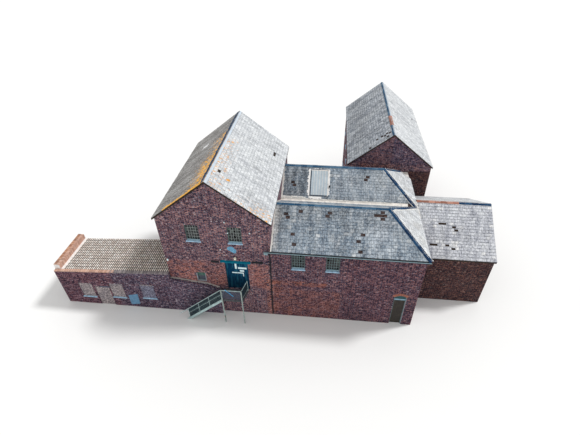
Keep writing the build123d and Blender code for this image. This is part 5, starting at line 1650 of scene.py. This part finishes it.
LEANTO_ROOF_LOW, LEANTO_ROOF_HIGH = corner_box("leanto_roof")
LEANTO_EAVE = 3.40
LEANTO_TOP = LEANTO_FRONT_HIGH.z
PARAPET_RIGHT = LEANTO_ROOF_LOW.x
PARAPET_TOP = LEANTO_HIGH.z
# Edge of the main block's cast shadow, painted on the front coping
COPING_SHADOW_EDGE = -4.4
COPING_SHADOW_EDGE_PLAY = 0.25
COPING_RISE = 0.06
COPING_GAP = 0.004
COPING_SPLIT = 0.003
COPING_OVERHANG = 0.006
COPING_DEPTH = 0.065
COPING_PROUD = 0.008
CAP = 0.012
PARAPET_FLASHING = 0.23
SHEET_THICK = 0.008
SHEET_RAGGED = 0.12
UPSTAND_RAGGED = 0.03
END_SHEET_INSET = 0.02
END_SHEET_PROUD = 0.010
END_SHEET_GAP = 0.01


def leanto_top(x):
    """The lean-to roof's pans rise evenly from the left wall to the main block."""
    return LEANTO_TOP + (LEANTO_TOP - LEANTO_EAVE) * x / -LEANTO_FRONT_LOW.x


def roll_section(start, pitch):
    """Offsets across a tile: a flat pan on each side of a round roll, with how far across each lies."""
    half = ROLL_WIDTH / 2
    radius = (half * half + ROLL_HEIGHT * ROLL_HEIGHT) / (2 * ROLL_HEIGHT)
    turns = [math.asin(half / radius) * share for share in ROLL_TURNS]
    roll = [(pitch / 2 + radius * math.sin(t), radius * math.cos(t) - radius + ROLL_HEIGHT) for t in turns]
    return [(start + x, max(0.0, z), x / pitch) for x, z in [(0.0, 0.0), *roll, (pitch, 0.0)]]


def lay_tile(shape, section, front, back):
    """One tile: its section carried back and tilted, with its front edge lifted on the next."""
    first = len(shape.points)
    count = len(section)
    lifts = (TILE_TAIL + random.uniform(-TILE_LIFT_PLAY, TILE_LIFT_PLAY), TILE_LIFT)
    for drop in (0.0, TILE_THICK):
        for y, lift in zip((front, back), lifts):
            shape.points.extend((x, y, leanto_top(x) + rise + lift - drop) for x, rise, _ in section)
    quads = []
    for i in range(count - 1):
        quads.append((i, i + 1, count + i + 1, count + i))
        left, right = section[i][2], section[i + 1][2]
        shape.marks.extend([(left, 0.0, 0.0), (right, 0.0, 0.0), (right, 1.0, 0.0), (left, 1.0, 0.0)])
    for i in range(count - 1):
        quads.append((2 * count + i + 1, 2 * count + i, 3 * count + i, 3 * count + i + 1))
        quads.append((i + 1, i, 2 * count + i, 2 * count + i + 1))
        quads.append((count + i, count + i + 1, 3 * count + i + 1, 3 * count + i))
    quads.append((0, count, 3 * count, 2 * count))
    quads.append((count - 1, 3 * count - 1, 4 * count - 1, 2 * count - 1))
    shape.faces.extend(tuple(first + i for i in quad) for quad in quads)
    shape.tints.extend([random.random()] * len(quads))
    shape.marks.extend([EDGE_MARK] * 4 * (len(quads) - (count - 1)))


def tile_leanto():
    """Roll tiles in rows from front to back, over the rolls of the frame's own roof."""
    shape = Shape()
    low, high = LEANTO_ROOF_LOW, LEANTO_ROOF_HIGH
    columns = round((high.x - low.x) / ROLL_PITCH)
    pitch = (high.x - low.x) / columns
    rows = round((high.y - low.y) / TILE_GAUGE)
    gauge = (high.y - low.y) / rows
    for column in range(columns):
        section = roll_section(low.x + column * pitch, pitch)
        for row in range(rows):
            front = low.y + row * gauge + random.uniform(0.0, TILE_PLAY)
            back = min(low.y + (row + TILE_LAP) * gauge, high.y)
            lay_tile(shape, section, front, back)
    shape.make("leanto_tiles", LEANTO_TILE)


def cope_leanto():
    """Coping bricks on the parapet, in two rows, and along the front wall, warm where sunlit and grey where
    the main block's cast shadow is painted on.
    """
    left = LEANTO_FRONT_LOW.x
    warm, grey, outer = Shape(), Shape(), Shape()
    count = round((LEANTO_HIGH.y - LEANTO_LOW.y) / COURSE)
    step = (LEANTO_HIGH.y - LEANTO_LOW.y) / count
    middle = (left + PARAPET_RIGHT) / 2
    for i in range(count):
        y = LEANTO_LOW.y + i * step
        for shape, x0, x1 in ((outer, left, middle - COPING_SPLIT),
                              (warm, middle + COPING_SPLIT, PARAPET_RIGHT)):
            shape.box((x0, y + COPING_GAP, PARAPET_TOP - COPING_GAP),
                      (x1, y + step - COPING_GAP, PARAPET_TOP + CAP))
    count = round(-left / COURSE)
    step = -left / count
    near, far = LEANTO_FRONT_LOW.y - COPING_OVERHANG, LEANTO_LOW.y
    for i in range(count):
        x = left + i * step
        lower, upper = [], []
        for px, py in rectangle(x + COPING_GAP, x + step - COPING_GAP, near, far):
            top = leanto_top(px) + COPING_RISE
            lower.append((px, py, top - COPING_DEPTH))
            upper.append((px, py, top + COPING_PROUD))
        # Right of this edge the front coping is drawn grey: the main block's cast shadow, painted
        change = COPING_SHADOW_EDGE + random.uniform(-COPING_SHADOW_EDGE_PLAY, COPING_SHADOW_EDGE_PLAY)
        (warm if x < change else grey).block(lower, upper)
    warm.make("coping_bricks_sunlit", SUNLIT_COPING)
    grey.make("coping_bricks_painted_shadow", SHADOWED_COPING)
    outer.make("coping_bricks_outer", COPING_BROWN)


def flash_parapet():
    """White flashing on the tiles and at the front beside the parapet, and its upstand in the sunlit coping
    tone.
    """
    left = LEANTO_FRONT_LOW.x
    base = leanto_top(PARAPET_RIGHT) + ROLL_HEIGHT + TILE_TAIL
    line = [(PARAPET_RIGHT, y, base) for y in (LEANTO_LOW.y, LEANTO_HIGH.y)]
    flashing = Shape()
    ribbon(flashing, *line, RIGHTWARD, UPWARD, PARAPET_FLASHING, SHEET_THICK, ragged=SHEET_RAGGED)
    foot = leanto_top(left) + COPING_RISE + END_SHEET_GAP
    flashing.box((left + END_SHEET_INSET, LEANTO_LOW.y - END_SHEET_PROUD, foot),
                 (PARAPET_RIGHT, LEANTO_LOW.y, PARAPET_TOP - END_SHEET_GAP))
    flashing.make("parapet_flashing", PAINT["white_flashing"])
    upstand = Shape()
    ribbon(upstand, *line, UPWARD, RIGHTWARD, PARAPET_TOP - base, SHEET_THICK, COURSE, UPSTAND_RAGGED)
    upstand.make("parapet_upstand", SUNLIT_COPING)


# Fittings and marks on the front

PATCH_DISCS = [((4.80, 6.60), 0.50, 0.40, 0.006), ((4.97, 6.44), 0.44, 0.34, 0.005),
               ((5.03, 6.30), 0.24, 0.20, 0.004)]
DISC_SIDES = 20
LAMP_X = 5.04
LAMP_RODS = [((0.0, 5.74), (-0.10, 5.74), 0.02, 8), ((-0.10, 5.72), (-0.10, 5.86), 0.085, 14),
             ((-0.10, 5.86), (-0.10, 5.88), 0.06, 14)]
JUNCTION_BOX = ((0.08, -0.06, 5.10), (0.18, 0.0, 5.26))
SPOTS = [(4.08, 6.46), (6.2, 8.06), (4.62, 8.85), (4.75, 7.98)]
SPOT_SIZE = (0.09, 0.08, 0.02)
SPOT_SIDES = 10
TIES = [(3.27, 3.84, 5.31), (6.18, 6.94, 5.475)]
TIE_HALF = 0.08
TIE_PROUD = 0.05
TIE_BOLT = (-0.01, -0.065)
TIE_BOLT_INSET = 0.05
TIE_BOLT_RADIUS = 0.02
BOLT_SIDES = 6
BLUE_PLATE = [(-3.732, 0.235), (-2.996, 0.382), (-2.941, 1.509), (-3.717, 1.306)]
BLUE_PLATE_THICK = 0.010
LINTEL = ((-5.78, 2.02), (-4.94, 2.13))
LINTEL_THICK = 0.015
LEDGE_TOP = [(0.0, 3.41), (2.7, 3.06), (3.59, 2.71)]
LEDGE_WIDTH = 0.11
LEDGE_THICK = 0.02


def disc(shape, middle, width, height, thick, sides=DISC_SIDES):
    """A flat oval on the main block's front."""
    turns = [2 * math.pi * i / sides for i in range(sides)]
    profile = [np.array((width / 2 * math.cos(t), 0.0, height / 2 * math.sin(t))) for t in turns]
    near = (middle[0], -RELIEF, middle[1])
    shape.prism(profile, near, (middle[0], -RELIEF - thick, middle[1]), FLAT_TINT)


def dress_front():
    """The oval patch, the lamp, small fixtures and tie bars on the main block's front."""
    patch = Shape()
    for row in PATCH_DISCS:
        disc(patch, *row)
    patch.make("render_patch", PAINT["blue_render"])
    lamp = Shape()
    for start, end, radius, sides in LAMP_RODS:
        lamp.rod((LAMP_X, *start), (LAMP_X, *end), radius, sides)
    lamp.make("wall_lamp", PAINT["cream_lamp"])
    fixtures = Shape()
    fixtures.box(*JUNCTION_BOX)
    for place in SPOTS:
        disc(fixtures, place, *SPOT_SIZE, SPOT_SIDES)
    fixtures.make("wall_fixtures", PAINT["white_plate"])
    ties = Shape()
    for left, right, z in TIES:
        ties.box((left, -TIE_PROUD, z - TIE_HALF), (right, 0.0, z + TIE_HALF))
        for x in (left + TIE_BOLT_INSET, right - TIE_BOLT_INSET):
            ties.rod((x, TIE_BOLT[0], z), (x, TIE_BOLT[1], z), TIE_BOLT_RADIUS, BOLT_SIDES)
    ties.make("tie_bars", PAINT["black_iron"])


def dress_leanto():
    """The tilted blue plate and the lintel on the lean-to's front, and the ledge's concrete top."""
    face = LEANTO_FRONT_LOW.y - RELIEF
    sheet = Shape()
    sheet.block(*([(x, y, z) for x, z in BLUE_PLATE] for y in (face, face - BLUE_PLATE_THICK)))
    sheet.make("blue_plate", PAINT["blue_plate_paint"])
    beam = Shape()
    plate(beam, *LINTEL, face, LINTEL_THICK)
    beam.make("door_lintel", PAINT["panel_violet"])
    fillet = Shape()
    for (x0, z0), (x1, z1) in zip(LEDGE_TOP, LEDGE_TOP[1:]):
        ribbon(fillet, (x0, -RELIEF, z0), (x1, -RELIEF, z1), FORWARD, UPWARD, LEDGE_WIDTH, LEDGE_THICK)
    fillet.make("ledge_fillet", PAINT["concrete"])


# Stair and landing

STRINGER_LOW, STRINGER_HIGH = corner_box("stair_stringers")
RAILING_LOW, RAILING_HIGH = corner_box("stair_railings")
POST_LOW, POST_HIGH = corner_box("landing_posts")
DECK_LOW, DECK_HIGH = corner_box("landing_deck")
POST = 0.07
RAIL = 0.036
KNEE_RAIL = RAIL * 0.6
SIDE_FOOT_RAIL = RAIL * 0.7
FLIGHT_POST = RAIL * 0.9
WIRE = 0.016
WIRE_PITCH = 0.036
WIRE_UP = (0.3, 1.0, 0.1)
TIE_LINES = (0.25, 0.5, 0.75)
STRINGER_GAP = 0.93
KNEE_DROP = 0.45
PANEL_DROP = 0.03
PANEL_FOOT = 0.19
KNEE_RISE = 0.4
FLIGHT_POSTS = 3
HANDRAIL_END = 0.02
LAST_POST_GAP = 0.1
SIDE_RAIL_GAP = 0.02
WALL_POST = 0.05
WALL_POST_INSET = 0.028
WALL_POST_Y = -0.03
STEPS = 13
STEP_RUN = 0.229
DOOR_FLOOR = DECK_HIGH.z
STAIR_TOP_X, STAIR_TOP_Z = POST_LOW.x, RAILING_HIGH.z
RISE = DOOR_FLOOR / STEPS / STEP_RUN
STAIR_LINE_Y = POST_LOW.y + POST / 2
FIRST_POST_X = RAILING_LOW.x + 0.56 + STEP_RUN
BRACE_Y = STAIR_LINE_Y - 0.014
BRACE = ((4.30, BRACE_Y, 3.62), (4.86, BRACE_Y, 3.00))
BRACE_SIZE = 0.030
BAND_LEVELS = (0.55, 0.75)
FLANGE = 0.022
FLANGE_TOPS = (STRINGER_HIGH.z - 0.012, DOOR_FLOOR - 0.218)
FLANGE_FOOT = 0.02
FLANGE_PROUD = 0.004
BOLT_RADIUS = 0.010
BOLT_LENGTH = 0.012
BOLT_SHIFT = 0.12
BOLT_DROP = 0.02
BOLT_SPREAD = 0.05


def bar_between(shape, start, end, size, up=UPWARD):
    """A square bar between two places."""
    line = (Vector(end) - Vector(start)).normalized()
    side = line.cross(Vector(up)).normalized() * (size / 2)
    top = side.cross(line).normalized() * (size / 2)
    profile = [np.array(a * side + b * top) for a, b in ((-1, -1), (1, -1), (1, 1), (-1, 1))]
    shape.prism(profile, start, end)


def wires_between(shape, low_start, low_end, high_start, high_end):
    """Thin upright wires that fill the panel between two rails, and the lines that tie them."""
    a, b, c, d = (Vector(v) for v in (low_start, low_end, high_start, high_end))
    count = int((b - a).length / WIRE_PITCH)
    for i in range(1, count):
        share = i / count
        bar_between(shape, a.lerp(b, share), c.lerp(d, share), WIRE, WIRE_UP)
    for share in TIE_LINES:
        bar_between(shape, a.lerp(c, share), b.lerp(d, share), WIRE)


def on_flight(x, drop):
    """A place on the flight's outer rail line, some way below the handrail."""
    return (x, STAIR_LINE_Y, STAIR_TOP_Z - RAIL / 2 - (STAIR_TOP_X - x) * RISE - drop)


def rail_flight(pale, dark):
    """The flight's handrail, posts and lower rail, and the wires between them."""
    top_x, first = STAIR_TOP_X, FIRST_POST_X
    bar_between(pale, on_flight(RAILING_LOW.x + HANDRAIL_END, 0.0), on_flight(top_x, 0.0), RAIL)
    for i in range(FLIGHT_POSTS):
        x = first + (top_x - LAST_POST_GAP - first) * i / FLIGHT_POSTS
        bar_between(pale, on_flight(x, 0.0), on_flight(x, STRINGER_GAP), FLIGHT_POST, BACKWARD)
    bar_between(pale, on_flight(first, KNEE_DROP), on_flight(top_x, KNEE_DROP), KNEE_RAIL)
    wires_between(dark, on_flight(first, STRINGER_GAP), on_flight(top_x, STRINGER_GAP),
                  on_flight(first, PANEL_DROP), on_flight(top_x, PANEL_DROP))


def rail_landing(pale, dark, violet):
    """The landing's front panel, and the rails, wires and wall post on its right side."""
    left, right = POST_LOW.x + POST, POST_HIGH.x - POST
    level = RAILING_HIGH.z - RAIL / 2
    low = DOOR_FLOOR + PANEL_FOOT
    for shape, z, size in ((pale, level, RAIL), (violet, low, RAIL), (violet, low + KNEE_RISE, KNEE_RAIL)):
        bar_between(shape, (left, STAIR_LINE_Y, z), (right, STAIR_LINE_Y, z), size)
    wires_between(violet, *((x, STAIR_LINE_Y, z) for z in (low, level) for x in (left, right)))
    start = (right + POST / 2 + SIDE_RAIL_GAP, DECK_LOW.y + SIDE_RAIL_GAP)
    end = (RAILING_HIGH.x - WALL_POST_INSET, WALL_POST_Y)
    for z, size in ((level, RAIL), (low, SIDE_FOOT_RAIL)):
        bar_between(pale, at_level(start, z), at_level(end, z), size)
    wires_between(dark, *(at_level(place, z) for z in (low, level) for place in (start, end)))
    bar_between(pale, at_level(end, DOOR_FLOOR), at_level(end, RAILING_HIGH.z), WALL_POST, BACKWARD)


def rail_stair():
    """Handrails and dark wire panels of the stair and landing, in place of the frame's plain ones."""
    pale, dark, violet = Shape(), Shape(), Shape()
    rail_flight(pale, dark)
    rail_landing(pale, dark, violet)
    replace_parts(pale.make("stair_handrails", PAINT["stair_paint"]), "stair_railings")
    dark.make("stair_wires", PAINT["mesh_blue"])
    violet.make("landing_front_panel", PAINT["panel_violet"])
    brace = Shape()
    bar_between(brace, *BRACE, BRACE_SIZE)
    brace.make("landing_brace", PAINT["pale_blue"])
    bottom, top = BAND_LEVELS
    make_box("post_band", at_level(POST_LOW, bottom), (POST_LOW.x + POST, POST_LOW.y + POST, top),
             PAINT["orange_band"])


def dress_stringer():
    """Pale flanges along the outer stringer, and the bolts that hold the treads to it."""
    shape = Shape()
    y = STRINGER_LOW.y
    top_x = STRINGER_HIGH.x
    for top in FLANGE_TOPS:
        start_x = top_x - (top - FLANGE_FOOT) / RISE
        bar_between(shape, (start_x, y - FLANGE_PROUD, FLANGE_FOOT), (top_x, y - FLANGE_PROUD, top), FLANGE)
    for i in range(1, STEPS):
        x = top_x - i * STEP_RUN + BOLT_SHIFT
        z = DOOR_FLOOR - i * DOOR_FLOOR / STEPS - BOLT_DROP
        for shift in (-BOLT_SPREAD, BOLT_SPREAD):
            shape.rod((x + shift, y, z), (x + shift, y - BOLT_LENGTH, z), BOLT_RADIUS, BOLT_SIDES)
    shape.make("stringer_trim", PAINT["stair_paint"])


# Rainwater goods

GUTTER_LOW, GUTTER_HIGH = corner_box("front_gutter")
PIPE_LOW, PIPE_HIGH = corner_box("downpipe")
LIP = 0.026
LIP_INSET = 0.004
OUTLET = (7.10, 7.36)
OUTLET_DEPTH = 0.05
OUTLET_DROP = 0.12
OUTLET_LAP = 0.02
BRACKET_PITCH = 0.9
BRACKET_WIDTHS = (0.03, 0.09)
BRACKET_OUT = 0.006
BRACKET_IN = 0.001
ARC_STEPS = 8
SOCKET_LEVELS = (1.9, 3.7, 5.4)
SOCKET_HEIGHT = 0.09
SOCKET_RADIUS = 0.052
SOCKET_SIDES = 14
PIPE_Y = -0.047


def dress_rainwater():
    """A pale line on the gutter's lip, its brackets and joints, and the pipe's sockets."""
    low, high = GUTTER_LOW, GUTTER_HIGH
    lip = Shape()
    bar_between(lip, (low.x, low.y + LIP_INSET, high.z), (high.x, low.y + LIP_INSET, high.z), LIP)
    lip.box((OUTLET[0], low.y - LIP_INSET, low.z - OUTLET_DROP),
            (OUTLET[1], low.y + OUTLET_DEPTH, low.z + OUTLET_LAP))
    lip.make("gutter_lip", PAINT["gutter_lip"])
    brackets = Shape()
    radius = (high.y - low.y) / 2
    middle = (high.y + low.y) / 2
    arc = [math.pi + math.pi * i / ARC_STEPS for i in range(ARC_STEPS + 1)]
    profile = []
    for turns, reach in ((arc, radius + BRACKET_OUT), (arc[::-1], radius - BRACKET_IN)):
        profile.extend(np.array((0.0, math.cos(t) * reach, math.sin(t) * reach)) for t in turns)
    count = round((high.x - low.x) / BRACKET_PITCH)
    for i in range(count):
        x = low.x + (i + 0.5) * (high.x - low.x) / count
        brackets.prism(profile, (x, middle, high.z), (x + BRACKET_WIDTHS[i % 2], middle, high.z))
    brackets.make("gutter_brackets", PAINT["gutter_iron"])
    sockets = Shape()
    x = (PIPE_LOW.x + PIPE_HIGH.x) / 2
    for z in SOCKET_LEVELS:
        sockets.rod((x, PIPE_Y, z), (x, PIPE_Y, z + SOCKET_HEIGHT), SOCKET_RADIUS, SOCKET_SIDES)
    sockets.make("pipe_sockets", PAINT["black_iron"])


# The pieces, in the order of their random draws
for build in (slate_all_roofs, ridge_all, bed_ridges, flash_joins, brick_all_walls, ring_the_arch,
              glaze_all, glaze_rooflight, flash_rooflight, board_doors, rail_windows, fit_door,
              dress_front, tile_leanto, cope_leanto, flash_parapet, dress_leanto, rail_stair,
              dress_stringer, dress_rainwater):
    build()


# Camera, floor and light

def place_camera():
    yaw = math.radians(CAMERA_YAW)
    pitch = math.radians(CAMERA_PITCH)
    roll = math.radians(CAMERA_ROLL)
    forward = Vector((-math.sin(yaw) * math.cos(pitch), math.cos(yaw) * math.cos(pitch), -math.sin(pitch)))
    right = Vector((math.cos(yaw), math.sin(yaw), 0.0))
    down = forward.cross(right)
    side = right * math.cos(roll) + down * math.sin(roll)
    low = down * math.cos(roll) - right * math.sin(roll)
    data = bpy.data.cameras.new("camera")
    data.sensor_width = SENSOR_MM
    data.lens = CAMERA_FOCAL_PX / PHOTO_WIDTH_PX * SENSOR_MM
    data.clip_end = FARTHEST
    camera = bpy.data.objects.new("camera", data)
    turn = Matrix((side, -low, -forward)).transposed().to_4x4()
    camera.matrix_world = Matrix.Translation(CAMERA_PLACE + CORNER) @ turn
    bpy.context.scene.collection.objects.link(camera)
    bpy.context.scene.camera = camera


def make_floor():
    m = Nodes("floor")
    m.finish(FLOOR_COLOUR, roughness=1.0, specular=0.0)
    half = FLOOR_SIZE / 2
    mesh = bpy.data.meshes.new("floor")
    mesh.from_pydata([(x, y, 0.0) for x, y in rectangle(-half, half, -half, half)], [], [(0, 1, 2, 3)])
    mesh.materials.append(m.material)
    floor = bpy.data.objects.new("floor", mesh)
    floor.location.z = -FLOOR_DROP
    bpy.context.scene.collection.objects.link(floor)


def make_light():
    sun = bpy.data.lights.new("sun", "SUN")
    sun.energy = SUN_STRENGTH
    sun.angle = math.radians(SUN_ANGLE)
    lamp = bpy.data.objects.new("sun", sun)
    lamp.rotation_euler = SUN_FROM.to_track_quat("Z", "Y").to_euler()
    bpy.context.scene.collection.objects.link(lamp)
    world = bpy.data.worlds.new("world")
    world.use_nodes = True
    background = world.node_tree.nodes["Background"]
    background.inputs[0].default_value = (1.0, 1.0, 1.0, 1.0)
    background.inputs[1].default_value = WORLD_STRENGTH
    bpy.context.scene.world = world


place_camera()
make_floor()
make_light()
bpy.context.scene.view_settings.view_transform = "Standard"
